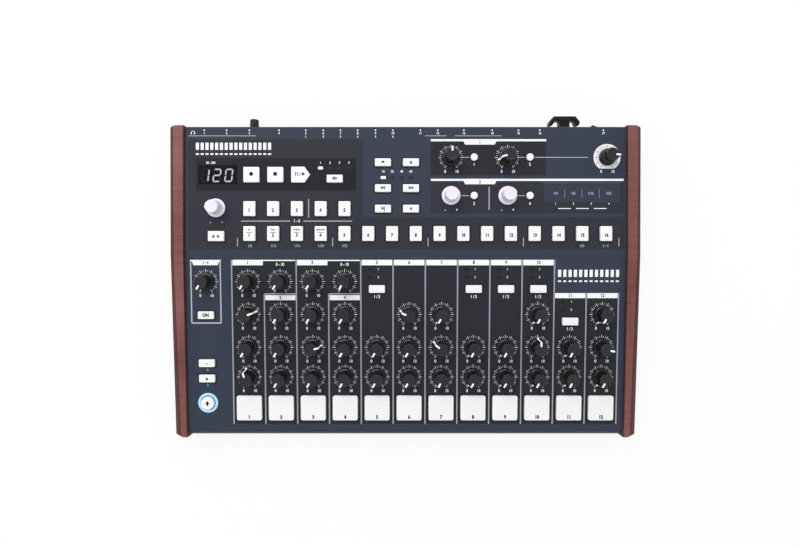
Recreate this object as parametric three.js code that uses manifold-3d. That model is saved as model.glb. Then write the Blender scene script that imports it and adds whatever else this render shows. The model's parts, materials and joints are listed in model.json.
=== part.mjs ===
// Table-top analogue drum machine: a bent steel panel between two wooden end cheeks, with knobs on
// potentiometers, silicone key mats, two control boards, a jack board and a steel base tray.
// Millimetres. +X is the user's right, +Y points away from the user, +Z up. The pieces are made with
// the bend across the panel at y = 0 and the table at z = 0, then the whole is centred front to back.

import * as THREE from "three";
import { mergeVertices } from "three/addons/utils/BufferGeometryUtils.js";
import Module from "manifold-3d";

const wasm = await Module();
wasm.setup();

// Body
const overallWidth = 484;
const cheekThickness = 15.2;
const rearDepth = 131.9;
const frontLength = 188;
const frontDrop = 9.9;
const panelHeight = 42;
const sheetThickness = 1.5;
const rearBevel = 1.6;
const frontBevel = 5;
const gap = 0.3;
const overrun = 1;

// Wooden cheeks
const cheekProud = 3.3;
const cheekRearOverhang = 1.3;
const cheekFrontOverhang = 2.5;
const cheekRearChamfer = 4;
const cheekBendChamfer = 4.8;
const cheekFrontChamfer = 8.7;
const cheekEndChamfer = 2;

// Base tray and rubber feet
const trayFrontFlange = 12;
const trayRearFlange = 4;
const trayWallInset = 9;
const footHeight = 3;
const footRadius = 8;
const footInset = 30;
const footWebWidth = 6;
const footWebThickness = 1;

// Columns of the front section, and where its rows lie as shares of the front length
const columnCount = 12;
const leftFieldWidth = 48;
const rightMargin = 7.2;
const upperRowShare = 0.1452;
const decayRowShare = 0.3261;
const pitchRowShare = 0.5085;
const levelRowShare = 0.6739;
const padRowShare = 0.8457;
const typeRowShare = 0.1862;
const lateTypeRowShare = 0.3649;

// Left field of the front section, as shares of the half width and the front length
const leftFieldAcrossShare = -0.9061;
const metronomeKeyShare = 0.3298;
const muteKeyShare = 0.5957;
const soloKeyShare = 0.6809;
const shiftKeyShare = 0.8191;

// Rear section: across as shares of the half width, back as shares of the rear depth
const stepRowShare = 0.166;
const firstStepShare = -0.705;
const lastStepShare = 0.9054;
const stepCount = 16;
const modeCount = 5;
const modeRowShare = 0.3594;
const tapAcrossShare = -0.8554;
const tapBackShare = 0.1463;
const rateAcrossShare = -0.8563;
const rateBackShare = 0.3654;
const transportBackShare = 0.6232;
const recordAcrossShare = -0.6958;
const stopAcrossShare = -0.5877;
const playAcrossShare = -0.4731;
const syncAcrossShare = -0.3197;
const syncBackShare = 0.5921;
const programAcrossShares = [-0.1019, 0.0247];
const programBackShares = [0.7195, 0.5186, 0.3594];
const effectAcrossShares = [0.2059, 0.4616];
const roundKeyAcrossShares = [0.31, 0.5622];
const filterBackShare = 0.7597;
const effectBackShare = 0.4617;
const masterAcrossShare = 0.9118;
const windowAcrossShare = -0.8496;
const windowBackShare = 0.6247;
const touchAcrossShare = 0.7972;
const touchBackShare = 0.4852;

// Keys and pads
const keyRise = 2.5;
const keyClearance = 0.4;
const keyCorner = 0.9;
const padSize = 26;
const padCorner = 2.5;
const stepKeyWidth = 12.3;
const stepKeyDepth = 15.3;
const modeKeyWidth = 12.3;
const modeKeyDepth = 15.3;
const transportKeyWidth = 16.4;
const transportKeyDepth = 15.8;
const playKeyWidth = 19;
const playKeyPointShare = 0.3;
const smallKeyWidth = 16.5;
const smallKeyDepth = 8;
const tapKeyDepth = 10.5;
const roundKeyRadius = 3.9;
const shiftKeyRadius = 7.15;
const roundSides = 12;

// Silicone mats under the panel
const matThickness = 1.2;
const matMargin = 1.4;
const matStrip = 5.6;
const keyTravel = 1.5;

// Knobs
const knobRise = 16;
const knobLift = 0.6;
const skirtRadius = 8.8;
const skirtHeight = 2;
const skirtSlope = 0.9;
const skirtTaper = 0.25;
const nubReach = 10.8;
const nubHalfAngle = 5;
const nubRootAngle = 18;
const bodyBaseRadius = 7.5;
const bodyTopRadius = 6;
const bodyFacets = 8;
const facetCornerAngle = 6;
const encoderSkirtRadius = 9.6;
const encoderNubReach = 12;
const shaftRadius = 3;
const shaftClearance = 0.6;
const shaftSides = 8;
const pointerRange = 150;

// Control boards
const boardThickness = 1.6;
const boardDepthBelow = 10;
const boardSideMargin = 4.8;
const boardBendMargin = 6;
const boardRearMargin = 23;
const boardFrontMargin = 6;
const boardLinkDepth = 20;
const boardLinkHeight = 5;
const boardLinkOverlap = 0.5;
const potSize = 10;
const potHeight = 4.8;
const switchSize = 6;
const padSensorSize = 14;
const spacerSize = 5;

// Display window and touch strip
const windowWidth = 38.6;
const windowDepth = 18.9;
const touchWidth = 74.6;
const touchDepth = 16.2;
const insetProud = 0.2;
const insetFlange = 1.6;
const insetFlangeThickness = 1;

// Jack board and what stands through the rear wall
const jackBodyDepth = 14;
const jackBoardInset = 11;
const jackBoardSlack = 3;
const rearRowHeight = 22;
const jackRowRise = 6;
const smallJackBody = 8;
const smallJackNose = 3;
const smallJackBore = 1.8;
const largeJackBody = 15;
const largeJackNose = 5.6;
const largeJackBore = 3.3;
const dinBody = 19;
const dinNose = 8.4;
const dinBore = 7;
const supplyBody = 10;
const supplyNose = 4.6;
const supplyBore = 2.9;
const usbWidth = 12;
const usbHeight = 11;
const usbMouthWidth = 8.6;
const usbMouthHeight = 7.8;
const jackProud = 1.5;
const jackFloor = 2;
const noseClearance = 0.4;
const noseSides = 12;
const smallNoseSides = 8;
const largeJackAcrossShares = [-0.9109, -0.5728];
const smallJackAcrossShares = [-0.81, 0.067, 0.1459];
const pairedJackAcrossShares = [-0.4515, -0.3721, -0.2945, -0.2165, -0.1358, -0.0573];
const dinAcrossShares = [0.2641, 0.3924];
const usbAcrossShare = 0.511;
const supplyAcrossShare = 0.608;

// Headphone level knob on the rear wall
const phonesAcrossShare = -0.7077;
const phonesKnobRadius = 5;
const phonesKnobReach = 12.5;
const phonesKnobTaper = 0.6;
const phonesKnobSides = 12;
const phonesPotBody = 10;
const phonesPotDepth = 9;

// Power switch
const switchAcrossShare = 0.8955;
const switchFrameWidth = 24;
const switchFrameHeight = 17;
const switchMouthWidth = 19.6;
const switchMouthHeight = 12.4;
const rockerWidth = 16.4;
const rockerRootWidth = 13;
const rockerHeight = 11.6;
const rockerReach = 5.6;
const rockerDip = 3.2;
const rockerMiddle = 3.4;
const rockerShoulder = 2.2;
const rockerDepth = 6;

// Cord hook
const hookAcrossShare = 0.741;
const hookWidth = 31.7;
const hookReach = 15;
const hookStemWidth = 10.5;
const hookBar = 4.2;
const hookTip = 3.6;
const hookTipLength = 4.6;
const hookShoulder = 4.5;
const hookHeight = 11;
const hookPlateWidth = 24;
const hookPlateThickness = 1.6;

// Worked out from the sizes above
const panelWidth = overallWidth - 2 * cheekThickness;
const halfPanel = panelWidth / 2;
const halfSheet = halfPanel - gap;
const frontTilt = Math.asin(frontDrop / frontLength);
const frontY = -frontLength * Math.cos(frontTilt);
const wallFoot = footHeight + sheetThickness + gap;
const matTop = -sheetThickness - gap;
const matBottom = matTop - matThickness;
const potTop = -boardDepthBelow + potHeight;
const switchTop = matBottom - keyTravel - gap;
const boardBottom = -boardDepthBelow - boardThickness;
const columnPitch = (panelWidth - leftFieldWidth - rightMargin) / columnCount;
const columnX = (column) => -halfPanel + leftFieldWidth + (column + 0.5) * columnPitch;
const stepX = (step) =>
  halfPanel * THREE.MathUtils.lerp(firstStepShare, lastStepShare, step / (stepCount - 1));

// Finishes
const finish = (color, roughness, metalness) => new THREE.MeshStandardMaterial({ color, roughness, metalness });
const paintedSteel = finish(0x3b4250, 0.55, 0.2);
const blackSteel = finish(0x1c1d20, 0.6, 0.3);
const redWood = finish(0x7a4842, 0.5, 0);
const blackKnob = finish(0x1d1d20, 0.45, 0);
const whitePlastic = finish(0xe6e4ea, 0.5, 0);
const whiteSilicone = finish(0xf2f1f4, 0.6, 0);
const smokedAcrylic = finish(0x1a171c, 0.15, 0);
const greenBoard = finish(0x20482f, 0.6, 0);
const blackPlastic = finish(0x19191b, 0.55, 0);
const blackRubber = finish(0x151515, 0.9, 0);

// Two planes carry the controls: the flat rear section and the sloping front section
const rearPlane = new THREE.Group();
rearPlane.position.z = panelHeight;
const frontPlane = new THREE.Group();
frontPlane.position.z = panelHeight;
frontPlane.rotation.x = frontTilt;
for (const plane of [rearPlane, frontPlane]) {
  plane.updateMatrix();
}

// A closed geometry as a solid that can be joined and cut, and back again
function solidOf(geometry) {
  const bare = geometry.clone();
  bare.deleteAttribute("normal");
  bare.deleteAttribute("uv");
  const merged = mergeVertices(bare);
  return new wasm.Manifold(
    new wasm.Mesh({
      numProp: 3,
      vertProperties: merged.attributes.position.array,
      triVerts: new Uint32Array(merged.index.array),
    })
  );
}

function geometryOf(solid) {
  const mesh = solid.getMesh();
  const geometry = new THREE.BufferGeometry();
  geometry.setAttribute("position", new THREE.BufferAttribute(mesh.vertProperties, 3));
  geometry.setIndex(new THREE.BufferAttribute(mesh.triVerts, 1));
  return geometry;
}

const joined = (parts) => parts.map(solidOf).reduce((whole, part) => whole.add(part));
const cut = (solid, cutters) => cutters.map(solidOf).reduce((whole, cutter) => whole.subtract(cutter), solid);

// A block from one corner to the other, given as pairs of limits
function block([x0, x1], [y0, y1], [z0, z1]) {
  const geometry = new THREE.BoxGeometry(x1 - x0, y1 - y0, z1 - z0);
  return geometry.translate((x0 + x1) / 2, (y0 + y1) / 2, (z0 + z1) / 2);
}

const about = (centre, size) => [centre - size / 2, centre + size / 2];

// An outline in plan raised from one height to another
function prism(outline, low, high) {
  return new THREE.ExtrudeGeometry(outline, { depth: high - low, bevelEnabled: false }).translate(0, 0, low);
}

// An outline drawn in y and z, run along x
function prismAcross(points, left, right) {
  const outline = new THREE.Shape(points.map(([y, z]) => new THREE.Vector2(y, z)));
  const turned = new THREE.Matrix4().set(0, 0, 1, 0, 1, 0, 0, 0, 0, 1, 0, 0, 0, 0, 0, 1);
  return prism(outline, left, right).applyMatrix4(turned);
}

// An outline drawn in x and z, run back along y from its nearer to its farther end
function prismBack(outline, near, far) {
  return prism(outline, -far, -near).applyMatrix4(new THREE.Matrix4().makeRotationX(Math.PI / 2));
}

function polygon(radius, sides, x = 0, y = 0) {
  const points = [];
  for (let side = 0; side < sides; side += 1) {
    const angle = ((side + 0.5) * 2 * Math.PI) / sides;
    points.push(new THREE.Vector2(x + radius * Math.cos(angle), y + radius * Math.sin(angle)));
  }
  return new THREE.Shape(points);
}

function rectangle([x0, x1], [y0, y1]) {
  const corners = [[x0, y0], [x1, y0], [x1, y1], [x0, y1]];
  return new THREE.Shape(corners.map(([x, y]) => new THREE.Vector2(x, y)));
}

// A rectangle whose corners are cut back, or rounded in more steps
function cornered(width, depth, corner, steps, x = 0, y = 0) {
  const points = [];
  for (let quarter = 0; quarter < 4; quarter += 1) {
    const right = quarter === 0 || quarter === 3 ? 1 : -1;
    const back = quarter < 2 ? 1 : -1;
    for (let step = 0; step <= steps; step += 1) {
      const angle = ((quarter + step / steps) * Math.PI) / 2;
      const cornerX = x + right * (width / 2 - corner);
      const cornerY = y + back * (depth / 2 - corner);
      points.push(new THREE.Vector2(cornerX + corner * Math.cos(angle), cornerY + corner * Math.sin(angle)));
    }
  }
  return new THREE.Shape(points);
}

// Rings of equal count, stacked into one closed surface
function loft(rings) {
  const count = rings[0].length;
  const positions = rings.flat(2);
  const index = [];
  for (let ring = 0; ring < rings.length - 1; ring += 1) {
    for (let point = 0; point < count; point += 1) {
      const next = (point + 1) % count;
      const a = ring * count + point;
      const b = ring * count + next;
      index.push(a, b, b + count, a, b + count, a + count);
    }
  }
  const last = (rings.length - 1) * count;
  for (let point = 1; point < count - 1; point += 1) {
    index.push(0, point + 1, point, last, last + point, last + point + 1);
  }
  const geometry = new THREE.BufferGeometry();
  geometry.setAttribute("position", new THREE.Float32BufferAttribute(positions, 3));
  geometry.setIndex(index);
  return geometry;
}

function piece(name, geometry, material, parent) {
  const mesh = new THREE.Mesh(geometry, material);
  mesh.name = name;
  parent.add(mesh);
  return mesh;
}

// Every control: where it lies on its plane, x across and y back from the bend
const onRear = (acrossShare, backShare) => ({ plane: rearPlane, x: halfPanel * acrossShare, y: rearDepth * backShare });
const onFront = (x, aheadShare) => ({ plane: frontPlane, x, y: -frontLength * aheadShare });
const leftFieldX = halfPanel * leftFieldAcrossShare;

// Knobs of the twelve channels. A knob rests at the angle listed for it, clockwise from twelve
// o'clock, or else at its lowest setting.
const channels = [
  "kick1", "kick2", "snare", "clap", "rim", "closed_hat",
  "open_hat", "tom_high", "tom_low", "cymbal", "maracas", "zap",
];
const everyColumn = channels.map((_, column) => column);
const knobRows = [
  { name: "tone", share: upperRowShare, columns: [0, 1, 2, 3], angles: {} },
  { name: "decay", share: decayRowShare, columns: [0, 1, 2, 3, 5, 6, 9, 11], angles: { 0: 70, 5: -68 } },
  { name: "pitch", share: pitchRowShare, columns: everyColumn, angles: { 2: 75, 6: -53, 9: 0, 11: 100 } },
  { name: "level", share: levelRowShare, columns: everyColumn, angles: { 0: -15 } },
];
const knobs = [];
for (const row of knobRows) {
  for (const column of row.columns) {
    const angle = row.angles[column] ?? -pointerRange;
    knobs.push({ name: `${channels[column]}_${row.name}_knob`, angle, ...onFront(columnX(column), row.share) });
  }
}
const [filterX, resonanceX] = effectAcrossShares;
knobs.push(
  { name: "metronome_level_knob", angle: -pointerRange, ...onFront(leftFieldX, upperRowShare) },
  { name: "filter_cutoff_knob", angle: 0, ...onRear(filterX, filterBackShare) },
  { name: "filter_resonance_knob", angle: -106, ...onRear(resonanceX, filterBackShare) },
  { name: "master_volume_knob", angle: 95, ...onRear(masterAcrossShare, filterBackShare) },
  { name: "rate_knob", angle: -82, encoder: "pointed", ...onRear(rateAcrossShare, rateBackShare) },
  { name: "swing_knob", angle: 0, encoder: "round", ...onRear(filterX, effectBackShare) },
  { name: "randomness_knob", angle: 0, encoder: "round", ...onRear(resonanceX, effectBackShare) }
);

// Keys, in the four groups that share a mat
const keySized = (place, width, depth) => ({ ...place, width, depth });
const small = (place) => keySized(place, smallKeyWidth, smallKeyDepth);
const disc = (place, radius) => ({ ...place, radius, width: 2 * radius, depth: 2 * radius });
const pads = everyColumn.map((column) => keySized(onFront(columnX(column), padRowShare), padSize, padSize));
const stepKeys = [];
for (let step = 0; step < stepCount; step += 1) {
  stepKeys.push(keySized(onRear(stepX(step) / halfPanel, stepRowShare), stepKeyWidth, stepKeyDepth));
}
const modeKeys = stepKeys
  .slice(0, modeCount)
  .map((key) => keySized({ ...key, y: rearDepth * modeRowShare }, modeKeyWidth, modeKeyDepth));
const transportPlace = (acrossShare) => onRear(acrossShare, transportBackShare);
const recordKey = keySized(transportPlace(recordAcrossShare), transportKeyWidth, transportKeyDepth);
const stopKey = keySized(transportPlace(stopAcrossShare), transportKeyWidth, transportKeyDepth);
const playKey = { ...keySized(transportPlace(playAcrossShare), playKeyWidth, transportKeyDepth), pointed: true };
const tapKey = keySized(onRear(tapAcrossShare, tapBackShare), smallKeyWidth, tapKeyDepth);
const syncKey = small(onRear(syncAcrossShare, syncBackShare));
const programKeys = programAcrossShares.map((across) => programBackShares.map((back) => small(onRear(across, back))));
const roundKeys = roundKeyAcrossShares.map((across) =>
  [effectBackShare, filterBackShare].map((back) => disc(onRear(across, back), roundKeyRadius))
);
const typeKeys = [4, 7, 8, 9].map((column) => small(onFront(columnX(column), typeRowShare)));
const lateTypeKey = small(onFront(columnX(10), lateTypeRowShare));
const metronomeKey = small(onFront(leftFieldX, metronomeKeyShare));
const muteKey = small(onFront(leftFieldX, muteKeyShare));
const soloKey = small(onFront(leftFieldX, soloKeyShare));
const shiftKey = disc(onFront(leftFieldX, shiftKeyShare), shiftKeyRadius);
const rearKeys = [...modeKeys, recordKey, stopKey, playKey, tapKey, syncKey, ...programKeys.flat(), ...roundKeys.flat()];
const frontKeys = [...typeKeys, lateTypeKey, metronomeKey, muteKey, soloKey, shiftKey];
const allKeys = [...pads, ...stepKeys, ...rearKeys, ...frontKeys];

// The outline of a key, or of its hole when it is grown by a clearance. Only a pad's hole has round corners.
function keyOutline(key, grow) {
  const width = key.width + 2 * grow;
  const depth = key.depth + 2 * grow;
  if (key.radius) {
    return polygon(key.radius + grow, roundSides, key.x, key.y);
  }
  if (key.pointed) {
    const point = width * playKeyPointShare;
    const [left, right] = about(key.x, width);
    const [front, back] = about(key.y, depth);
    const corners = [[left, front], [right - point, front], [right, key.y], [right - point, back], [left, back]];
    return new THREE.Shape(corners.map(([x, y]) => new THREE.Vector2(x, y)));
  }
  const isPad = key.width === padSize;
  if (grow > 0 && !isPad) {
    return rectangle(about(key.x, width), about(key.y, depth));
  }
  return cornered(width, depth, (isPad ? padCorner : keyCorner) + grow, isPad ? 2 : 1, key.x, key.y);
}

// Top panel: one steel sheet, folded down at the rear, bent once, and folded down again at the front
function offsetInwards(points, distance) {
  const normals = points.slice(1).map(([y, z], side) => {
    const run = new THREE.Vector2(y - points[side][0], z - points[side][1]).normalize();
    return new THREE.Vector2(-run.y, run.x);
  });
  return points.map(([y, z], corner) => {
    const before = normals[Math.max(corner - 1, 0)];
    const after = normals[Math.min(corner, normals.length - 1)];
    const mitre = before.clone().add(after);
    mitre.multiplyScalar(distance / (1 + before.dot(after)));
    return [y + mitre.x, z + mitre.y];
  });
}

function panelProfile() {
  const crest = frontLength - frontBevel;
  return [
    [rearDepth, wallFoot],
    [rearDepth, panelHeight - rearBevel],
    [rearDepth - rearBevel, panelHeight],
    [0, panelHeight],
    [-crest * Math.cos(frontTilt), panelHeight - crest * Math.sin(frontTilt)],
    [frontY, panelHeight - frontDrop - frontBevel],
    [frontY, wallFoot],
  ];
}

const insets = [
  { ...onRear(windowAcrossShare, windowBackShare), width: windowWidth, depth: windowDepth },
  { ...onRear(touchAcrossShare, touchBackShare), width: touchWidth, depth: touchDepth },
];

// What stands through the rear wall. Each socket's face is round or square, with a bore or a mouth.
const socketKind = (body, nose, bore, proud, sides) => ({ body, nose, bore, proud, sides });
const smallJack = socketKind(smallJackBody, smallJackNose, smallJackBore, jackProud, smallNoseSides);
const largeJack = socketKind(largeJackBody, largeJackNose, largeJackBore, jackProud, noseSides);
const dinSocket = socketKind(dinBody, dinNose, dinBore, 0, noseSides);
const supplyInlet = socketKind(supplyBody, supplyNose, supplyBore, 0, smallNoseSides);
const socketAt = (kind, acrossShare, z = rearRowHeight) => ({ ...kind, x: halfPanel * acrossShare, z });
const sockets = [
  ...largeJackAcrossShares.map((share) => socketAt(largeJack, share)),
  ...smallJackAcrossShares.map((share) => socketAt(smallJack, share)),
  ...pairedJackAcrossShares.map((share) => socketAt(smallJack, share, rearRowHeight - jackRowRise)),
  ...pairedJackAcrossShares.map((share) => socketAt(smallJack, share, rearRowHeight + jackRowRise)),
  ...dinAcrossShares.map((share) => socketAt(dinSocket, share)),
  socketAt(supplyInlet, supplyAcrossShare),
];
const usbX = halfPanel * usbAcrossShare;
const switchX = halfPanel * switchAcrossShare;
const phonesX = halfPanel * phonesAcrossShare;
const wallInside = rearDepth - sheetThickness;
const throughWall = [wallInside - overrun, rearDepth + overrun];

function topPanel() {
  const outside = panelProfile();
  const inside = offsetInwards(outside, sheetThickness);
  const sheet = solidOf(prismAcross([...outside, ...inside.reverse()], -halfSheet, halfSheet));
  const depthRange = [-sheetThickness - overrun, overrun];
  const cutters = [];
  for (const key of allKeys) {
    cutters.push(prism(keyOutline(key, keyClearance), ...depthRange).applyMatrix4(key.plane.matrix));
  }
  for (const knob of knobs) {
    const hole = polygon(shaftRadius + shaftClearance, shaftSides, knob.x, knob.y);
    cutters.push(prism(hole, ...depthRange).applyMatrix4(knob.plane.matrix));
  }
  for (const inset of insets) {
    const opening = block(about(inset.x, inset.width + 2 * gap), about(inset.y, inset.depth + 2 * gap), depthRange);
    cutters.push(opening.applyMatrix4(inset.plane.matrix));
  }
  for (const socket of sockets) {
    const hole = polygon(socket.nose + noseClearance, socket.sides, socket.x, socket.z);
    cutters.push(prismBack(hole, ...throughWall));
  }
  const phonesHole = polygon(shaftRadius + shaftClearance, shaftSides, phonesX, rearRowHeight);
  cutters.push(prismBack(phonesHole, ...throughWall));
  const usbWide = usbWidth + 2 * noseClearance;
  const usbTall = usbHeight + 2 * noseClearance;
  cutters.push(block(about(usbX, usbWide), throughWall, about(rearRowHeight, usbTall)));
  const frameWide = switchFrameWidth + 2 * noseClearance;
  const frameTall = switchFrameHeight + 2 * noseClearance;
  cutters.push(block(about(switchX, frameWide), throughWall, about(rearRowHeight, frameTall)));
  return geometryOf(cut(sheet, cutters));
}

// Base tray: a flat steel floor with a flange behind each fold of the panel and a wall behind each cheek
function baseTray() {
  const floorTop = footHeight + sheetThickness;
  const inFront = frontY + sheetThickness + gap;
  const inRear = wallInside - gap;
  const across = [-halfSheet, halfSheet];
  const parts = [
    block(across, [frontY, rearDepth], [footHeight, floorTop]),
    block(across, [inFront, inFront + sheetThickness], [footHeight, floorTop + trayFrontFlange]),
    block(across, [inRear - sheetThickness, inRear], [footHeight, floorTop + trayRearFlange]),
  ];
  const under = panelHeight - sheetThickness - gap;
  const wallFront = frontY + trayWallInset;
  const slope = Math.tan(frontTilt);
  const wall = [
    [inRear - sheetThickness, footHeight],
    [inRear - sheetThickness, under],
    [0, under],
    [wallFront, under + wallFront * slope],
    [wallFront, footHeight],
  ];
  parts.push(prismAcross(wall, -halfSheet, -halfSheet + sheetThickness));
  parts.push(prismAcross(wall, halfSheet - sheetThickness, halfSheet));
  return geometryOf(joined(parts));
}

// A wooden cheek: its top follows the panel and its outer top edge is chamfered more towards the front
function cheek(side) {
  const inner = side * halfPanel;
  const outer = (side * overallWidth) / 2;
  const section = (y, top, chamfer, trim) => {
    const ring = [
      [inner, y, footHeight + trim],
      [inner, y, top - trim],
      [outer - side * (chamfer + trim), y, top - trim],
      [outer - side * trim, y, top - chamfer - trim],
      [outer - side * trim, y, footHeight + trim],
    ];
    return side > 0 ? ring.reverse() : ring;
  };
  const rearEnd = rearDepth + cheekRearOverhang;
  const frontEnd = frontY - cheekFrontOverhang;
  const topAt = (y) => panelHeight + cheekProud + Math.min(y, 0) * Math.tan(frontTilt);
  const nearFront = frontEnd + cheekEndChamfer;
  const nearRear = rearEnd - cheekEndChamfer;
  const stations = [
    section(rearEnd, topAt(rearEnd), cheekRearChamfer, cheekEndChamfer),
    section(nearRear, topAt(nearRear), cheekRearChamfer, 0),
    section(0, topAt(0), cheekBendChamfer, 0),
    section(nearFront, topAt(nearFront), cheekFrontChamfer, 0),
    section(frontEnd, topAt(frontEnd), cheekFrontChamfer, cheekEndChamfer),
  ];
  return loft(stations);
}

// A knob with its shaft, standing on its plane with the pointer towards +y before it is turned
function polar(angle, radius, z) {
  const turn = THREE.MathUtils.degToRad(angle);
  return [radius * Math.sin(turn), radius * Math.cos(turn), z];
}

function knobRings(reach, nub, round) {
  const count = 2 * bodyFacets;
  const skirt = (z, less) => {
    const ring = [];
    for (let point = 0; point < count; point += 1) {
      const half = point < count / 2 ? point : count - 1 - point;
      const turn = point < count / 2 ? 1 : -1;
      const spread = (180 - nubRootAngle) / (count / 2 - 1.5);
      const plain = nubRootAngle + (half - 1) * spread;
      const even = ((half + 0.5) * 360) / count;
      const angle = half === 0 ? nubHalfAngle : plain;
      const radius = half === 0 ? nub : reach;
      const place = round ? [even, reach] : [angle, radius];
      ring.push(polar(turn * place[0], place[1] - less, z));
    }
    return ring.reverse();
  };
  const body = (radius, z) => {
    const ring = [];
    for (let facet = 0; facet < bodyFacets; facet += 1) {
      const corner = ((facet + 0.5) * 360) / bodyFacets;
      ring.push(polar(corner - facetCornerAngle, radius, z), polar(corner + facetCornerAngle, radius, z));
    }
    return ring.reverse();
  };
  const skirtTop = knobLift + skirtHeight;
  return [
    skirt(knobLift, 0),
    skirt(skirtTop, skirtTaper),
    body(bodyBaseRadius, skirtTop + skirtSlope),
    body(bodyTopRadius, knobRise),
  ];
}

function knobGeometry(reach, nub, round = false) {
  const shaft = prism(polygon(shaftRadius, shaftSides), potTop + gap, knobLift + skirtHeight);
  return geometryOf(joined([loft(knobRings(reach, nub, round)), shaft]));
}

// A silicone mat: its keys stand through the panel, and strips under the panel join them
function strip(from, to, width) {
  const across = [Math.min(from.x, to.x) - width / 2, Math.max(from.x, to.x) + width / 2];
  const back = [Math.min(from.y, to.y) - width / 2, Math.max(from.y, to.y) + width / 2];
  return block(across, back, [matBottom, matTop]);
}

// Runs across from the first place, then back or forward to the second
function elbow(from, to, width = matStrip) {
  const turn = { x: to.x, y: from.y };
  const parts = [];
  if (from.x !== turn.x) {
    parts.push(strip(from, turn, width));
  }
  if (turn.y !== to.y) {
    parts.push(strip(turn, to, width));
  }
  return parts;
}

const chain = (keys, width) => keys.slice(1).flatMap((key, before) => elbow(keys[before], key, width));

// Each key of a mat stands on a base a little wider than itself, unless it stands on a wide strip
function mat(keys, strips, margin = matMargin) {
  const parts = [...strips];
  for (const key of keys) {
    if (margin > 0) {
      const base = [about(key.x, key.width + 2 * margin), about(key.y, key.depth + 2 * margin)];
      parts.push(block(...base, [matBottom, matTop]));
    }
    parts.push(prism(keyOutline(key, 0), matBottom + matThickness / 2, keyRise));
  }
  return geometryOf(joined(parts));
}

function rearMat() {
  const tapTurn = { x: (tapKey.x + modeKeys[0].x) / 2, y: tapKey.y };
  const [leftProgram, rightProgram] = programKeys;
  const lastMode = modeKeys[modeCount - 1];
  const [leftRound, rightRound] = roundKeys;
  const dialLane = (leftRound[0].y + leftRound[1].y) / 2;
  return mat(rearKeys, [
    ...chain([recordKey, stopKey, playKey]),
    ...elbow(playKey, modeKeys[2]),
    ...chain(modeKeys),
    ...elbow(modeKeys[0], tapTurn),
    ...elbow(tapTurn, tapKey),
    ...elbow(lastMode, syncKey),
    ...elbow(lastMode, leftProgram[2]),
    ...chain(leftProgram),
    ...chain(rightProgram),
    ...elbow(leftProgram[1], rightProgram[1]),
    ...elbow({ ...rightProgram[1], y: dialLane }, { ...rightRound[1], y: dialLane }),
    ...chain(leftRound),
    ...chain(rightRound),
  ]);
}

function frontMat() {
  const dialLane = (-frontLength * (upperRowShare + decayRowShare)) / 2;
  const laneEnd = { ...metronomeKey, y: dialLane };
  return mat(frontKeys, [
    ...chain(typeKeys),
    ...elbow(typeKeys[typeKeys.length - 1], lateTypeKey),
    ...elbow(laneEnd, typeKeys[0]),
    ...chain([laneEnd, metronomeKey, muteKey, soloKey, shiftKey]),
  ]);
}

const padMat = () => mat(pads, [strip(pads[0], pads[columnCount - 1], padSize + 2 * matMargin)], 0);
const stepMat = () => mat(stepKeys, [strip(stepKeys[0], stepKeys[stepCount - 1], stepKeyDepth + 2 * matMargin)], 0);

// Control boards: a flat rear one and a sloping front one, joined by a plug strip under the bend
function panelBoards() {
  const side = halfSheet - sheetThickness - boardSideMargin;
  const thick = [boardBottom, -boardDepthBelow];
  const rearEnd = rearDepth - boardRearMargin;
  const frontEnd = -frontLength + boardFrontMargin;
  const onPlane = (plane, geometry) => geometry.applyMatrix4(plane.matrix);
  const linkTop = boardBottom + boardLinkOverlap;
  const parts = [
    onPlane(rearPlane, block([-side, side], [boardBendMargin, rearEnd], thick)),
    onPlane(frontPlane, block([-side, side], [frontEnd, -boardBendMargin], thick)),
    onPlane(rearPlane, block(about(0, side), about(0, boardLinkDepth), [linkTop - boardLinkHeight, linkTop])),
  ];
  const rooted = -boardDepthBelow - boardThickness / 2;
  for (const knob of knobs) {
    const pot = block(about(knob.x, potSize), about(knob.y, potSize), [rooted, potTop]);
    parts.push(onPlane(knob.plane, pot));
  }
  for (const key of allKeys) {
    const size = key.width === padSize ? padSensorSize : switchSize;
    parts.push(onPlane(key.plane, block(about(key.x, size), about(key.y, size), [rooted, switchTop])));
  }
  const insetBottom = matTop - insetFlangeThickness - gap;
  for (const inset of insets) {
    parts.push(onPlane(inset.plane, block(about(inset.x, inset.width), about(inset.y, inset.depth), [rooted, insetBottom])));
  }
  const spacer = (plane, x, y) => {
    parts.push(onPlane(plane, block(about(x, spacerSize), about(y, spacerSize), [rooted, matTop])));
  };
  const sideX = side - spacerSize / 2;
  const betweenColumns = [2, 5, 8].map((column) => columnX(column) - columnPitch / 2);
  const rearLine = rearEnd - spacerSize / 2;
  const midLine = (rearDepth * (stepRowShare + modeRowShare)) / 2 + spacerSize / 2;
  const rowLines = [
    -boardBendMargin - spacerSize,
    (-frontLength * (decayRowShare + pitchRowShare)) / 2,
    frontEnd + spacerSize / 2,
  ];
  for (const x of [-sideX, 0, sideX]) {
    spacer(rearPlane, x, rearLine);
  }
  for (const x of [-sideX, sideX]) {
    spacer(rearPlane, x, midLine);
  }
  for (const y of rowLines) {
    for (const x of [-sideX, ...betweenColumns, sideX]) {
      spacer(frontPlane, x, y);
    }
  }
  return geometryOf(joined(parts));
}

// A clear plate set into the panel from below, with a flange under the sheet
function insetPlate(inset) {
  const plate = block(about(inset.x, inset.width), about(inset.y, inset.depth), [matTop - insetFlangeThickness, insetProud]);
  const wide = inset.width + 2 * insetFlange;
  const deep = inset.depth + 2 * insetFlange;
  const flange = block(about(inset.x, wide), about(inset.y, deep), [matTop - insetFlangeThickness, matTop]);
  return geometryOf(joined([plate, flange]));
}

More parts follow.
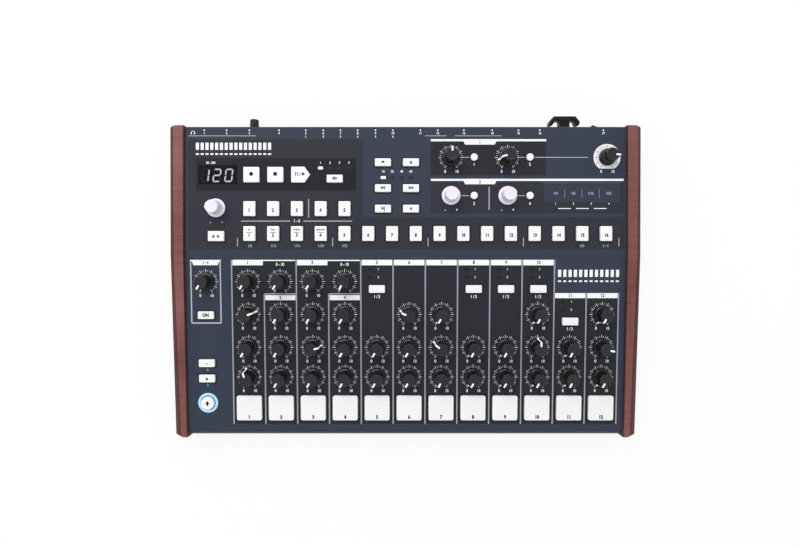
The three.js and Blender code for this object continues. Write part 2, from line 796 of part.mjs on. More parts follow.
// Jack board: an upright board with each socket's body in front of it and its nose through the wall
function jackBoard() {
  const bodyBack = wallInside - gap;
  const boardY = [bodyBack - jackBodyDepth - boardThickness, bodyBack - jackBodyDepth];
  const foot = wallFoot + trayRearFlange;
  const head = panelHeight - sheetThickness - jackBoardSlack;
  const rooted = boardY[0] + boardThickness / 2;
  const parts = [block(about(0, panelWidth - 2 * jackBoardInset), boardY, [foot, head])];
  const wells = [];
  for (const socket of sockets) {
    parts.push(block(about(socket.x, socket.body), [rooted, bodyBack], about(socket.z, socket.body)));
    parts.push(prismBack(polygon(socket.nose, socket.sides, socket.x, socket.z), rooted, rearDepth + socket.proud));
    const well = polygon(socket.bore, socket.sides, socket.x, socket.z);
    wells.push(prismBack(well, boardY[1] + jackFloor, rearDepth + socket.proud + overrun));
  }
  parts.push(block(about(usbX, usbWidth), [rooted, rearDepth], about(rearRowHeight, usbHeight)));
  const wellRange = [boardY[1] + jackFloor, rearDepth + overrun];
  wells.push(block(about(usbX, usbMouthWidth), wellRange, about(rearRowHeight, usbMouthHeight)));
  parts.push(block(about(switchX, switchFrameWidth), [rooted, rearDepth], about(rearRowHeight, switchFrameHeight)));
  wells.push(block(about(switchX, switchMouthWidth), wellRange, about(rearRowHeight, switchMouthHeight)));
  const potY = [rooted, boardY[1] + phonesPotDepth];
  parts.push(block(about(phonesX, phonesPotBody), potY, about(rearRowHeight, phonesPotBody)));
  return geometryOf(cut(joined(parts), wells));
}

function phonesKnob() {
  const bodyBack = wallInside - gap;
  const potFace = bodyBack - jackBodyDepth + phonesPotDepth;
  const face = rearDepth + phonesKnobReach;
  const near = rearDepth + knobLift;
  const ring = (radius, y) => {
    const points = [];
    for (let side = 0; side < phonesKnobSides; side += 1) {
      const angle = (side * 2 * Math.PI) / phonesKnobSides;
      points.push([radius * Math.cos(angle), y, radius * Math.sin(angle)]);
    }
    return points.reverse();
  };
  const small = phonesKnobRadius - phonesKnobTaper;
  const rings = [
    ring(phonesKnobRadius, near),
    ring(small, face - phonesKnobTaper),
    ring(small - phonesKnobTaper, face),
  ];
  const shaft = prismBack(polygon(shaftRadius, shaftSides), potFace + gap, near + overrun);
  return geometryOf(joined([loft(rings), shaft]));
}

// The rocker lies in the switch's mouth and turns about an upright axis level with the wall's face.
// At rest its left half stands out.
function rocker() {
  const half = rockerWidth / 2;
  const rootHalf = rockerRootWidth / 2;
  const outline = [
    [-rootHalf, -rockerDepth],
    [rootHalf, -rockerDepth],
    [half, 0],
    [half, rockerDip - rockerShoulder / 2],
    [half - rockerShoulder, rockerDip],
    [0, rockerMiddle],
    [rockerShoulder - half, rockerReach],
    [-half, rockerReach - rockerShoulder],
    [-half, 0],
  ];
  const shape = new THREE.Shape(outline.map(([x, y]) => new THREE.Vector2(x, rearDepth + y)));
  return prism(shape, -rockerHeight / 2, rockerHeight / 2);
}

// Cord hook: a plate on the wall, a stem and a bar whose ends turn back towards the wall
function cordHook() {
  const near = rearDepth + gap;
  const far = rearDepth + hookReach;
  const half = hookWidth / 2;
  const tipY = far - hookBar - hookTipLength;
  const outline = [
    [hookPlateWidth / 2, near],
    [hookPlateWidth / 2, near + hookPlateThickness],
    [hookStemWidth / 2, near + hookPlateThickness],
    [hookStemWidth / 2, far - hookBar],
    [half - hookTip - hookBar / 2, far - hookBar],
    [half - hookTip, tipY],
    [half, tipY],
    [half, tipY + hookTip],
    [half - hookShoulder, far],
  ];
  const mirrored = outline.map(([x, y]) => [-x, y]).reverse();
  const points = [...outline, ...mirrored].map(([x, y]) => new THREE.Vector2(x, y));
  return prism(new THREE.Shape(points), rearRowHeight - hookHeight / 2, rearRowHeight + hookHeight / 2);
}

// Rubber feet: two round pads on one thin strip
function feet(y) {
  const top = footHeight - gap;
  const x = halfPanel - footInset;
  const parts = [block([-x, x], about(y, footWebWidth), [top - footWebThickness, top])];
  for (const side of [-1, 1]) {
    parts.push(prism(polygon(footRadius, noseSides, side * x, y), 0, top));
  }
  return geometryOf(joined(parts));
}

// Assembly
const machine = new THREE.Group();
machine.add(rearPlane, frontPlane);
piece("top_panel", topPanel(), paintedSteel, machine);
piece("base_tray", baseTray(), blackSteel, machine);
piece("left_cheek", cheek(-1), redWood, machine);
piece("right_cheek", cheek(1), redWood, machine);
piece("control_boards", panelBoards(), greenBoard, machine);
piece("jack_board", jackBoard(), blackPlastic, machine);
piece("display_window", insetPlate(insets[0]), smokedAcrylic, rearPlane);
piece("touch_strip", insetPlate(insets[1]), blackPlastic, rearPlane);
piece("pad_mat", padMat(), whiteSilicone, frontPlane);
piece("step_key_mat", stepMat(), whiteSilicone, rearPlane);
piece("rear_key_mat", rearMat(), whiteSilicone, rearPlane);
piece("front_key_mat", frontMat(), whiteSilicone, frontPlane);

const knobShapes = {
  dial: knobGeometry(skirtRadius, nubReach),
  pointed: knobGeometry(encoderSkirtRadius, encoderNubReach),
  round: knobGeometry(encoderSkirtRadius, encoderSkirtRadius, true),
};
for (const knob of knobs) {
  const material = knob.encoder ? whitePlastic : blackKnob;
  const mesh = piece(knob.name, knobShapes[knob.encoder ?? "dial"], material, knob.plane);
  mesh.position.set(knob.x, knob.y, 0);
  mesh.rotation.z = -THREE.MathUtils.degToRad(knob.angle);
}
piece("phones_level_knob", phonesKnob(), blackKnob, machine).position.set(phonesX, 0, rearRowHeight);
piece("power_rocker", rocker(), blackPlastic, machine).position.set(switchX, 0, rearRowHeight);
piece("cord_hook", cordHook(), blackPlastic, machine).position.x = halfPanel * hookAcrossShare;
piece("front_feet", feet(frontY + footInset), blackRubber, machine);
piece("rear_feet", feet(rearDepth - footInset), blackRubber, machine);

// Centred front to back between the front end of the cheeks and the face of the cord hook
const foremost = frontY - cheekFrontOverhang;
const rearmost = rearDepth + hookReach;
machine.position.y = -(foremost + rearmost) / 2;

export default machine;
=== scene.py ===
import json
import math

import bmesh
import bpy
from mathutils import Matrix, Vector


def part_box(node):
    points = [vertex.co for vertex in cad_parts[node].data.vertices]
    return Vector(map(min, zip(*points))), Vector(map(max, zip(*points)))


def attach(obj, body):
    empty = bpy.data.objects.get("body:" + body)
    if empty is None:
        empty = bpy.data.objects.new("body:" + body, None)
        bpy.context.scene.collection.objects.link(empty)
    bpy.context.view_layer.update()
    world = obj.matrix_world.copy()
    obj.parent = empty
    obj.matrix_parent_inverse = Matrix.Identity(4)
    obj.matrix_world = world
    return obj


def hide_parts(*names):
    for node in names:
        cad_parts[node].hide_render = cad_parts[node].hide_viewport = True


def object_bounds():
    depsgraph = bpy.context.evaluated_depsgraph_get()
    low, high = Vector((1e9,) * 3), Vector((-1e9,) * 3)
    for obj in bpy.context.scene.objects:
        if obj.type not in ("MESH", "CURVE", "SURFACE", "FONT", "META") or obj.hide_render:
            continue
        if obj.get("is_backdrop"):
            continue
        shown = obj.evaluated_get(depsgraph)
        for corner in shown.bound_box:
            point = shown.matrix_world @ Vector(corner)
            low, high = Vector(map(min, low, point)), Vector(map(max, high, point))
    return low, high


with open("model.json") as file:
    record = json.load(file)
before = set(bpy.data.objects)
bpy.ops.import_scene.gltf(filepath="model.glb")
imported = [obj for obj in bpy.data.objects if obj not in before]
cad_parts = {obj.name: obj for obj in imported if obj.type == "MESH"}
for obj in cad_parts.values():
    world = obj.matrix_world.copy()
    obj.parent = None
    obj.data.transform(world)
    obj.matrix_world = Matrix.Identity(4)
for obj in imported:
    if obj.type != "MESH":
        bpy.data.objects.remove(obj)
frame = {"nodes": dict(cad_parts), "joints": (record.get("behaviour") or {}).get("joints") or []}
cad_low, cad_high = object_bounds()
scene = bpy.context.scene

# Where the machine stands. Lengths are written in millimetres and multiplied by mm. Every print and
# control lies on one of two planes that start at the bend of the panel: x runs across, y back from
# the bend (what lies ahead of it is negative), and z up from the paint.
mm = 0.001
rear_depth = 131.9 * mm
panel_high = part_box("top_panel")[1]
bend_y = panel_high.y - rear_depth
panel_top = panel_high.z
joints = {joint["name"]: joint for joint in frame["joints"]}
tilt_axis = joints["kick1_level_turn"]["axis"]
front_tilt = math.atan2(-tilt_axis[1], tilt_axis[2])
rear_plane = Matrix.Translation((0, bend_y, panel_top))
front_plane = rear_plane @ Matrix.Rotation(front_tilt, 4, "X")
full_turn = 2 * math.pi

# The camera looks straight down from just ahead of the bend. Its height and its lens come from the
# way in which the knobs and the cheeks lean outwards in the photograph.
lens_above_panel = 540 * mm
lens_ahead_of_bend = 18 * mm
lens_left_of_middle = 5.65 * mm
sensor_width = 36
focal_length = 23.67
camera = bpy.data.objects.new("camera", bpy.data.cameras.new("camera"))
camera.location = (-lens_left_of_middle, bend_y - lens_ahead_of_bend, panel_top + lens_above_panel)
camera.data.sensor_width = sensor_width
camera.data.lens = focal_length
camera.data.clip_start = 10 * mm
scene.collection.objects.link(camera)
scene.camera = camera
scene.view_settings.view_transform = "Standard"


def paint(red, green, blue):
    """A colour as the eye reads it on a screen, 0 to 255, turned into light."""
    shares = [value / 255 for value in (red, green, blue)]
    return [s / 12.92 if s <= 0.04045 else ((s + 0.055) / 1.055) ** 2.4 for s in shares] + [1]


def add_node(tree, kind, inputs=None, **settings):
    """One node of a tree, with its settings, and its inputs as values or as other nodes' outputs."""
    node = tree.nodes.new(kind)
    for name, value in settings.items():
        setattr(node, name, value)
    for name, value in (inputs or {}).items():
        if isinstance(value, bpy.types.NodeSocket):
            tree.links.new(value, node.inputs[name])
        else:
            node.inputs[name].default_value = value
    return node


def seen_directly(tree):
    """One where the eye, a gloss or a glass looks at a surface, and zero where light bounces off."""
    path = add_node(tree, "ShaderNodeLightPath")
    seen = path.outputs["Is Camera Ray"]
    for ray in ("Is Glossy Ray", "Is Transmission Ray"):
        either = {0: seen, 1: path.outputs[ray]}
        seen = add_node(tree, "ShaderNodeMath", either, operation="MAXIMUM").outputs[0]
    return seen


# The room: a white surround with a dimmer ceiling in its reflections, and one large soft lamp behind
# and above, left of the middle, which gives the knobs their bright arcs at the rear left.
surround_strength = 0.76
ceiling_dimness = 0.6
lamp_power = 32
lamp_width = 2.4
lamp_depth = 1.6
lamp_place = Vector((-0.7, 1.55, 1.9))
lamp_aim = Vector((0, 0, 0.04))
world = bpy.data.worlds.new("surround")
world.use_nodes = True
scene.world = world
surround = world.node_tree
background = surround.nodes["Background"]
background.inputs["Color"].default_value = (1, 1, 1, 1)
direction = add_node(surround, "ShaderNodeTexCoord").outputs["Generated"]
height = add_node(surround, "ShaderNodeSeparateXYZ", {0: direction}).outputs["Z"]
overhead = add_node(surround, "ShaderNodeMath", {0: height, 1: 0.0}, operation="MAXIMUM").outputs[0]
glossy = add_node(surround, "ShaderNodeLightPath").outputs["Is Glossy Ray"]
dimmed = add_node(surround, "ShaderNodeMath", {0: overhead, 1: glossy}, operation="MULTIPLY").outputs[0]
full = {0: seen_directly(surround), 1: 1 - surround_strength, 2: surround_strength}
full_strength = add_node(surround, "ShaderNodeMath", full, operation="MULTIPLY_ADD").outputs[0]
less = {0: dimmed, 1: -ceiling_dimness, 2: full_strength}
strength = add_node(surround, "ShaderNodeMath", less, operation="MULTIPLY_ADD")
surround.links.new(strength.outputs[0], background.inputs["Strength"])
lamp = bpy.data.objects.new("soft_lamp", bpy.data.lights.new("soft_lamp", "AREA"))
lamp.data.shape = "RECTANGLE"
lamp.data.size = lamp_width
lamp.data.size_y = lamp_depth
lamp.data.energy = lamp_power
lamp.location = lamp_place
lamp.rotation_euler = (lamp_aim - lamp_place).to_track_quat("-Z", "Y").to_euler()
scene.collection.objects.link(lamp)

# The table: a plain white sheet under the feet. It glows where it is looked at, so that it shows as
# white, and the machine's soft shadow stays on it.
table_reach = 40.0
table_colour = paint(250, 250, 250)
table_glow_share = 0.86
table_roughness = 0.9
table_mesh = bpy.data.meshes.new("table")
corners = [(-table_reach, -table_reach, 0), (table_reach, -table_reach, 0)]
corners += [(table_reach, table_reach, 0), (-table_reach, table_reach, 0)]
table_mesh.from_pydata(corners, [], [(0, 1, 2, 3)])
table = bpy.data.objects.new("table", table_mesh)
scene.collection.objects.link(table)
white_sheet = bpy.data.materials.new("white_sheet")
white_sheet.use_nodes = True
sheet_tree = white_sheet.node_tree
sheet_surface = sheet_tree.nodes["Principled BSDF"]
sheet_surface.inputs["Base Color"].default_value = table_colour
sheet_surface.inputs["Roughness"].default_value = table_roughness
sheet_surface.inputs["Specular IOR Level"].default_value = 0
glow = add_node(sheet_tree, "ShaderNodeEmission", {"Color": (1, 1, 1, 1), "Strength": 1.0})
glow_share = {0: seen_directly(sheet_tree), 1: table_glow_share}
shown = add_node(sheet_tree, "ShaderNodeMath", glow_share, operation="MULTIPLY").outputs[0]
sheet_mix = {0: shown, 1: sheet_surface.outputs[0], 2: glow.outputs[0]}
mixed = add_node(sheet_tree, "ShaderNodeMixShader", sheet_mix)
sheet_tree.links.new(mixed.outputs[0], sheet_tree.nodes["Material Output"].inputs["Surface"])
table_mesh.materials.append(white_sheet)
table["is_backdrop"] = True


# Top panel: one steel sheet, 1.5 mm thick, folded down at the rear, bent across its width and folded
# down again at the front, with a fine satin powder coat. The dark fields are printed onto the coat.
weld = 0.002 * mm
sharp_angle = math.radians(32)
panel_sheen = 0.18
panel_mottle = 0.03
panel_coats = {
    "satin_blue_coat": (paint(54, 61, 76), 0.5),
    "charcoal_print": (paint(50, 50, 59), 0.55),
    "slate_print": (paint(43, 43, 52), 0.55),
    "jet_print": (paint(33, 32, 41), 0.4),
    # The last is a slightly darker copy of the blue coat for the fold strips that slant upwards: painted
    # shade.
    "painted_fold_shade": (paint(51, 57, 72), 0.45),
}
coat_names = list(panel_coats)
mottle_stops = (0.3, 0.7)
roughness_spread = 0.12
grain_depth = 0.05 * mm
fields = [
    ("charcoal_print", rear_plane, (-222.8, 224.6), (5.7, 39.0)),
    ("charcoal_print", rear_plane, (-222.8, -43.6), (39.0, 118.9)),
    ("charcoal_print", rear_plane, (25.7, 223.8), (42.6, 78.0)),
    ("slate_print", rear_plane, (25.7, 144.3), (81.9, 118.9)),
    ("jet_print", rear_plane, (-214.9, -50.8), (65.9, 99.4)),
    ("slate_print", front_plane, (-178.8, 153.2), (-176.2, -5.0)),
    ("slate_print", front_plane, (153.2, 219.6), (-176.2, -39.4)),
]


def coated(name, colour, roughness, mottle=0.08, cloud=45, grain=3500, bump=0.15, **gloss):
    """A finish with a soft unevenness in its colour and a fine grain in its surface."""
    finish = bpy.data.materials.new(name)
    finish.use_nodes = True
    tree = finish.node_tree
    surface = tree.nodes["Principled BSDF"]
    for socket, value in gloss.items():
        surface.inputs[socket.replace("_", " ")].default_value = value
    place = add_node(tree, "ShaderNodeTexCoord").outputs["Object"]
    cloudy = add_node(tree, "ShaderNodeTexNoise", {"Vector": place, "Scale": cloud, "Detail": 5.0})
    tone = add_node(tree, "ShaderNodeValToRGB", {0: cloudy.outputs[0]})
    lightnesses = (1 - mottle, 1 + mottle)
    for stop, position, lightness in zip(tone.color_ramp.elements, mottle_stops, lightnesses):
        stop.position = position
        stop.color = [channel * lightness for channel in colour[:3]] + [1]
    tree.links.new(tone.outputs[0], surface.inputs["Base Color"])
    fine = add_node(tree, "ShaderNodeTexNoise", {"Vector": place, "Scale": grain, "Detail": 2.0})
    least, most = roughness * (1 - roughness_spread), roughness * (1 + roughness_spread)
    rough = add_node(tree, "ShaderNodeMapRange", {0: fine.outputs[0], 3: least, 4: most})
    tree.links.new(rough.outputs[0], surface.inputs["Roughness"])
    relief = {"Height": fine.outputs[0], "Strength": bump, "Distance": grain_depth}
    bumps = add_node(tree, "ShaderNodeBump", relief)
    tree.links.new(bumps.outputs[0], surface.inputs["Normal"])
    return finish


def solid_of(node):
    """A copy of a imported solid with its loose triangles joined."""
    work = bmesh.new()
    work.from_mesh(frame["nodes"][node].data)
    bmesh.ops.remove_doubles(work, verts=work.verts, dist=weld)
    return work


def settle(mesh):
    """Turns the faces of a mesh outwards and smooths every edge that isn't sharp."""
    work = bmesh.new()
    work.from_mesh(mesh)
    bmesh.ops.recalc_face_normals(work, faces=work.faces)
    work.to_mesh(mesh)
    work.free()
    mesh.polygons.foreach_set("use_smooth", [True] * len(mesh.polygons))
    mesh.set_sharp_from_angle(angle=sharp_angle)


def piece_of(name, work, finishes, body, slot, *replaced):
    """Makes a shown piece of a worked mesh: its finishes, the body it rides on, what it stands for."""
    mesh = bpy.data.meshes.new(name)
    work.to_mesh(mesh)
    work.free()
    for finish in finishes:
        mesh.materials.append(finish)
    settle(mesh)
    piece = bpy.data.objects.new(name, mesh)
    scene.collection.objects.link(piece)
    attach(piece, body)
    if replaced:
        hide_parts(*replaced)
    return piece


def score(work, plane, place, across):
    """Splits the faces that lie on a plane along one straight line."""
    upright = plane.to_3x3() @ Vector(across)
    to_plane = plane.inverted()
    faces = [f for f in work.faces if abs((to_plane @ f.calc_center_median()).z) < weld]
    edges = {edge for face in faces for edge in face.edges}
    verts = {vert for face in faces for vert in face.verts}
    split = [*faces, *edges, *verts]
    point = plane @ Vector(place)
    bmesh.ops.bisect_plane(work, geom=split, dist=weld, plane_co=point, plane_no=upright)


panel = solid_of("top_panel")
for _, plane, across, back in fields:
    for x in across:
        score(panel, plane, (x * mm, 0, 0), (1, 0, 0))
    for y in back:
        score(panel, plane, (0, y * mm, 0), (0, 1, 0))
for coat, plane, across, back in fields:
    to_plane = plane.inverted()
    for face in panel.faces:
        centre = to_plane @ face.calc_center_median() / mm
        inside = across[0] < centre.x < across[1] and back[0] < centre.y < back[1]
        if abs(centre.z) < weld / mm and inside:
            face.material_index = coat_names.index(coat)
panel_finishes = []
for name, look in panel_coats.items():
    panel_finishes.append(coated(name, *look, panel_mottle, Specular_IOR_Level=panel_sheen))
folded_panel = piece_of("folded_panel", panel, panel_finishes, "housing", "panel_paint", "top_panel")

# Folds of the panel: the press leaves each of them round, so the slanting strip at a fold shades as a
# round bend, and every other face of the sheet stays flat.
slope_margin = 0.01
nearly_upright = 0.999
steepest_flat = math.sin(front_tilt) + slope_margin
corner_normals = []
for polygon in folded_panel.data.polygons:
    level_across = abs(polygon.normal.x) < slope_margin
    slants = level_across and steepest_flat < abs(polygon.normal.y) < nearly_upright
    on_fold = slants and polygon.normal.z > 0
    # The strips that slant upwards take the darker copy of the coat: painted shade.
    if on_fold:
        polygon.material_index = coat_names.index("painted_fold_shade")
    foot = min(folded_panel.data.vertices[index].co.z for index in polygon.vertices)
    plane = rear_plane if polygon.normal.y > 0 else front_plane
    for index in polygon.vertices:
        normal = polygon.normal.copy()
        if on_fold and folded_panel.data.vertices[index].co.z > foot + weld:
            normal = plane.to_3x3() @ Vector((0, 0, 1))
        elif on_fold:
            normal = Vector((0, math.copysign(1, normal.y), 0))
        corner_normals.append(normal)
folded_panel.data.normals_split_custom_set(corner_normals)


# Base tray: black painted steel, folded up at its edges and screwed to the panel. Under it are its six
# screws and the rubber feet, which are two round pads on a thin strip at the front and at the rear.
tray_black = paint(38, 38, 41)
rubber_black = paint(30, 30, 31)


def dress(node, finish):
    """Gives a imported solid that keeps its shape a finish."""
    mesh = frame["nodes"][node].data
    for slot_index in range(len(mesh.materials)):
        mesh.materials[slot_index] = finish


dress("base_tray", coated("tray_coat", tray_black, 0.6, Specular_IOR_Level=0.3))
rubber_look = {"mottle": 0.12, "grain": 1800, "bump": 0.3, "Specular_IOR_Level": 0.2}
rubber = coated("foot_rubber", rubber_black, 0.85, **rubber_look)
for feet in ("front_feet", "rear_feet"):
    dress(feet, rubber)


# End cheeks: two solid boards of a reddish hardwood, stained and oiled, with their outer top edge cut
# back, screwed to the case from inside. Fine ripples cross the grain, and the faces that turn to the
# sides, the cut edge among them, take a darker copy of the wood: painted shade.
wood_light = (142, 92, 88)
wood_dark = (106, 62, 59)
wood_side_painted_shade = 0.72
wood_sheen = 0.3
wood_cut_sheen = 0.02
wood_roughness = (0.4, 0.5)
wood_tone_range = (0.28, 0.58)
wood_grain = {"stretch": (260, 9, 260), "detail": 3.0, "share": 0.16}
wood_ripples = {"stretch": (30, 420, 30), "detail": 2.0, "share": 0.3}
wood_patches = {"stretch": (24, 11, 24), "detail": 2.0, "share": 0.4}
wood_warp = 0.5
wood_bump = 0.2
cheek_edge_radius = 0.9 * mm
cheek_edge_steps = 3
side_shade_slope = 0.35


def stained_wood(name, shade=1, sheen=wood_sheen):
    """Faint streaks along the board, ripples across it, and a few slow darker patches."""
    finish = bpy.data.materials.new(name)
    finish.use_nodes = True
    tree = finish.node_tree
    surface = tree.nodes["Principled BSDF"]
    surface.inputs["Specular IOR Level"].default_value = sheen
    place = add_node(tree, "ShaderNodeTexCoord").outputs["Object"]
    layers = []
    for layer in (wood_grain, wood_ripples, wood_patches):
        stretched = add_node(tree, "ShaderNodeMapping", {"Vector": place, "Scale": layer["stretch"]})
        noise = {"Vector": stretched.outputs[0], "Scale": 1.0}
        noise |= {"Detail": layer["detail"], "Distortion": wood_warp}
        share = {0: add_node(tree, "ShaderNodeTexNoise", noise).outputs[0], 1: layer["share"]}
        layers.append(add_node(tree, "ShaderNodeMath", share, operation="MULTIPLY").outputs[0])
    figure = layers[0]
    for layer in layers[1:]:
        figure = add_node(tree, "ShaderNodeMath", {0: figure, 1: layer}, operation="ADD").outputs[0]
    tone = add_node(tree, "ShaderNodeValToRGB", {0: figure})
    colours = (wood_dark, wood_light)
    for stop, position, colour in zip(tone.color_ramp.elements, wood_tone_range, colours):
        stop.position = position
        stop.color = paint(*(channel * shade for channel in colour))
    tree.links.new(tone.outputs[0], surface.inputs["Base Color"])
    spread = dict(enumerate((figure, *wood_tone_range, *wood_roughness)))
    rough = add_node(tree, "ShaderNodeMapRange", spread)
    tree.links.new(rough.outputs[0], surface.inputs["Roughness"])
    relief = {"Height": layers[0], "Strength": wood_bump, "Distance": 0.2 * mm}
    tree.links.new(add_node(tree, "ShaderNodeBump", relief).outputs[0], surface.inputs["Normal"])
    return finish


def soften(work, radius, steps, least_angle=25):
    """Rounds the edges of a worked mesh where its faces meet at more than a small angle."""
    flat = math.radians(1)
    bmesh.ops.dissolve_limit(work, angle_limit=flat, verts=work.verts, edges=work.edges)
    edges = [edge for edge in work.edges if len(edge.link_faces) == 2]
    edges = [edge for edge in edges if edge.calc_face_angle() > math.radians(least_angle)]
    rounding = {"offset": radius, "segments": steps, "profile": 0.5, "clamp_overlap": True}
    bmesh.ops.bevel(work, geom=edges, affect="EDGES", **rounding)
    return work


oiled_wood = [stained_wood("stained_hardwood")]
# The second finish is a darker copy of the wood: painted shade for the faces that turn to the sides.
oiled_wood.append(stained_wood("side_painted_shade_hardwood", wood_side_painted_shade, wood_cut_sheen))
for side in ("left", "right"):
    board = soften(solid_of(f"{side}_cheek"), cheek_edge_radius, cheek_edge_steps)
    board.normal_update()
    for face in board.faces:
        # Faces that turn to the sides get the painted shade.
        face.material_index = int(abs(face.normal.x) > side_shade_slope)
    piece_of(f"{side}_cheek_board", board, oiled_wood, "housing", "cheek_wood", f"{side}_cheek")


# Control boards: two boards of green glass fibre, a level one at the rear and a sloping one at the
# front, joined by a plug strip. They carry the potentiometers, the encoders and the dome switches.
board_green = paint(32, 74, 48)
dress("control_boards", coated("board_mask", board_green, 0.35, Specular_IOR_Level=0.5))


# Keys and pads: white silicone caps that stand through the panel, each with softly rounded edges.
# The caps of a group are moulded in one with the web under the panel that springs them back, and
# their figures and signs are printed in black.
web_top = -1.8
key_rise = 2.5
key_crown = 0.1
cap_foot = web_top + 0.1
cap_inset = 0.04
cap_fillet = 0.5
cap_fillet_steps = 4
pad_corner = 1.9
key_corner = 0.9
pad_least_size = 22
key_top_share = 0.8
least_point = 1
round_fill = 0.87
crown_foot = (0.06, 0.7)
crown_top_inset = 0.3
level_enough = 0.99
silicone_white = paint(244, 244, 245)
mark_black = paint(12, 12, 13)
silicone_look = {"mottle": 0.01, "grain": 2600, "Specular_IOR_Level": 0.25}
white_silicone = coated("white_silicone", silicone_white, 0.6, **silicone_look)
key_ink = coated("key_ink", mark_black, 0.5, mottle=0.02, Specular_IOR_Level=0.2)


def loft(work, rings, slot=0, closed=False):
    """Skins rings of as many points each, and caps the first and the last unless they join up."""
    loops = [[work.verts.new(point) for point in ring] for ring in rings]
    count = len(loops[0])
    faces = [] if closed else [work.faces.new(loops[-1]), work.faces.new(reversed(loops[0]))]
    for below, above in zip(loops, loops[1:] + loops[:1] if closed else loops[1:]):
        for index in range(count):
            after = (index + 1) % count
            faces.append(work.faces.new((below[index], below[after], above[after], above[index])))
    for face in faces:
        face.material_index = slot


def lifted(plane, outline, height):
    """The points of an outline at one height over a plane, from millimetres to metres."""
    return [plane @ Vector((x * mm, y * mm, height * mm)) for x, y in outline]


def rounded(x0, x1, y0, y1, radius, steps=4):
    """A rectangle with rounded corners, counter-clockwise from its right side."""
    outline = []
    for quarter, (x, y) in enumerate(((x1, y1), (x0, y1), (x0, y0), (x1, y0))):
        inner_x = x - radius if quarter in (0, 3) else x + radius
        inner_y = y - radius if quarter in (0, 1) else y + radius
        for step in range(steps + 1):
            angle = (quarter + step / steps) * full_turn / 4
            outline.append((inner_x + radius * math.cos(angle), inner_y + radius * math.sin(angle)))
    return outline


def disc(x, y, radius, steps=32):
    """A circle, counter-clockwise from its right side."""
    turns = [full_turn * step / steps for step in range(steps)]
    return [(x + radius * math.cos(turn), y + radius * math.sin(turn)) for turn in turns]


def islands(node, plane, least_height):
    """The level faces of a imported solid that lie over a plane: their corners and area in millimetres."""
    work = solid_of(node)
    bmesh.ops.transform(work, matrix=plane.inverted(), verts=work.verts)
    raised = [face for face in work.faces if face.calc_center_median().z > least_height * mm]
    loose = {face for face in raised if face.normal.z > level_enough}
    found = []
    while loose:
        island = [loose.pop()]
        for face in island:
            touching = {near for edge in face.edges for near in edge.link_faces} & loose
            loose -= touching
            island.extend(touching)
        spots = [vert.co / mm for face in island for vert in face.verts]
        area = sum(face.calc_area() for face in island) / mm ** 2
        found.append((spots, area))
    work.free()
    return found


def extents(spots):
    """How far some points reach in x and in y."""
    across = [spot.x for spot in spots]
    back = [spot.y for spot in spots]
    return min(across), max(across), min(back), max(back)


def key_places(node, plane):
    """The keys of a mat from rear to front and left to right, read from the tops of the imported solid."""
    keys = []
    for spots, area in islands(node, plane, key_top_share * key_rise):
        x0, x1, y0, y1 = extents(spots)
        ends = [spot.x for spot in spots if spot.y < y0 + 0.1]
        point = (x1 - max(ends)) - (min(ends) - x0)
        is_round = point < least_point and area < round_fill * (x1 - x0) * (y1 - y0)
        key = {"box": (x0, x1, y0, y1), "size": (x1 - x0, y1 - y0)}
        keys.append(key | {"point": point if point > least_point else 0, "round": is_round})
    return sorted(keys, key=lambda key: (-round(key["box"][2]), key["box"][0]))


def middle_of(key):
    """The middle of a key on its plane."""
    x0, x1, y0, y1 = key["box"]
    return (x0 + x1) / 2, (y0 + y1) / 2


def eased(corners, radius, steps):
    """A convex outline with its corners rounded off."""
    outline = []
    for index, corner in enumerate(corners):
        here = Vector(corner)
        before = (Vector(corners[index - 1]) - here).normalized()
        after = (Vector(corners[(index + 1) % len(corners)]) - here).normalized()
        half_angle = before.angle(after) / 2
        centre = here + (before + after).normalized() * radius / math.sin(half_angle)
        start = here + before * radius / math.tan(half_angle) - centre
        end = here + after * radius / math.tan(half_angle) - centre
        for step in range(steps + 1):
            outline.append(tuple(centre + start.slerp(end, step / steps)))
    return outline


def key_outline(key, inset, steps=4):
    """The outline of a key, drawn in by an inset or let out by a negative one."""
    x0, x1, y0, y1 = key["box"]
    if key["round"]:
        return disc(*middle_of(key), (x1 - x0) / 2 - inset, 40)
    radius = max((pad_corner if x1 - x0 > pad_least_size else key_corner) - inset, 0.3)
    if not key["point"]:
        return rounded(x0 + inset, x1 - inset, y0 + inset, y1 - inset, radius, steps)
    half = (y1 - y0) / 2
    slope = math.hypot(key["point"], half)
    shoulder = x1 - key["point"] + inset * (key["point"] - slope) / half
    tip = x1 - inset * slope / half
    corners = [(shoulder, y1 - inset), (x0 + inset, y1 - inset), (x0 + inset, y0 + inset)]
    return eased([*corners, (shoulder, y0 + inset), (tip, y0 + half)], radius, steps)


def key_cap(work, plane, key):
    """A cap from inside the panel up to its slightly crowned top, with a fillet round its edge."""
    rim = key_rise - key_crown
    rings = [(cap_inset, cap_foot), (cap_inset, rim - cap_fillet)]
    for step in range(1, cap_fillet_steps + 1):
        turn = full_turn / 4 * step / cap_fillet_steps
        drawn_in = cap_fillet * (1 - math.cos(turn))
        rings.append((cap_inset + drawn_in, rim - cap_fillet * (1 - math.sin(turn))))
    width = min(key["size"])
    foot_inset, foot_rise = crown_foot
    rings.append((cap_inset + cap_fillet + foot_inset * width, rim + foot_rise * key_crown))
    rings.append((crown_top_inset * width, key_rise))
    loft(work, [lifted(plane, key_outline(key, inset), height) for inset, height in rings])


ink_bed = -0.01
first_coat = 0.05
second_coat = 0.08
key_ink_heights = (key_rise - 0.3, key_rise + 0.03)
figure_condense = 0.86
figure_weight = 0.03
key_figure_weight = 0.055
figure_steps = 3
figure_meshes = {}


def plate(work, plane, outline, low=ink_bed, high=first_coat, slot=0):
    """A thin closed plate over an outline."""
    loft(work, [lifted(plane, outline, low), lifted(plane, outline, high)], slot)


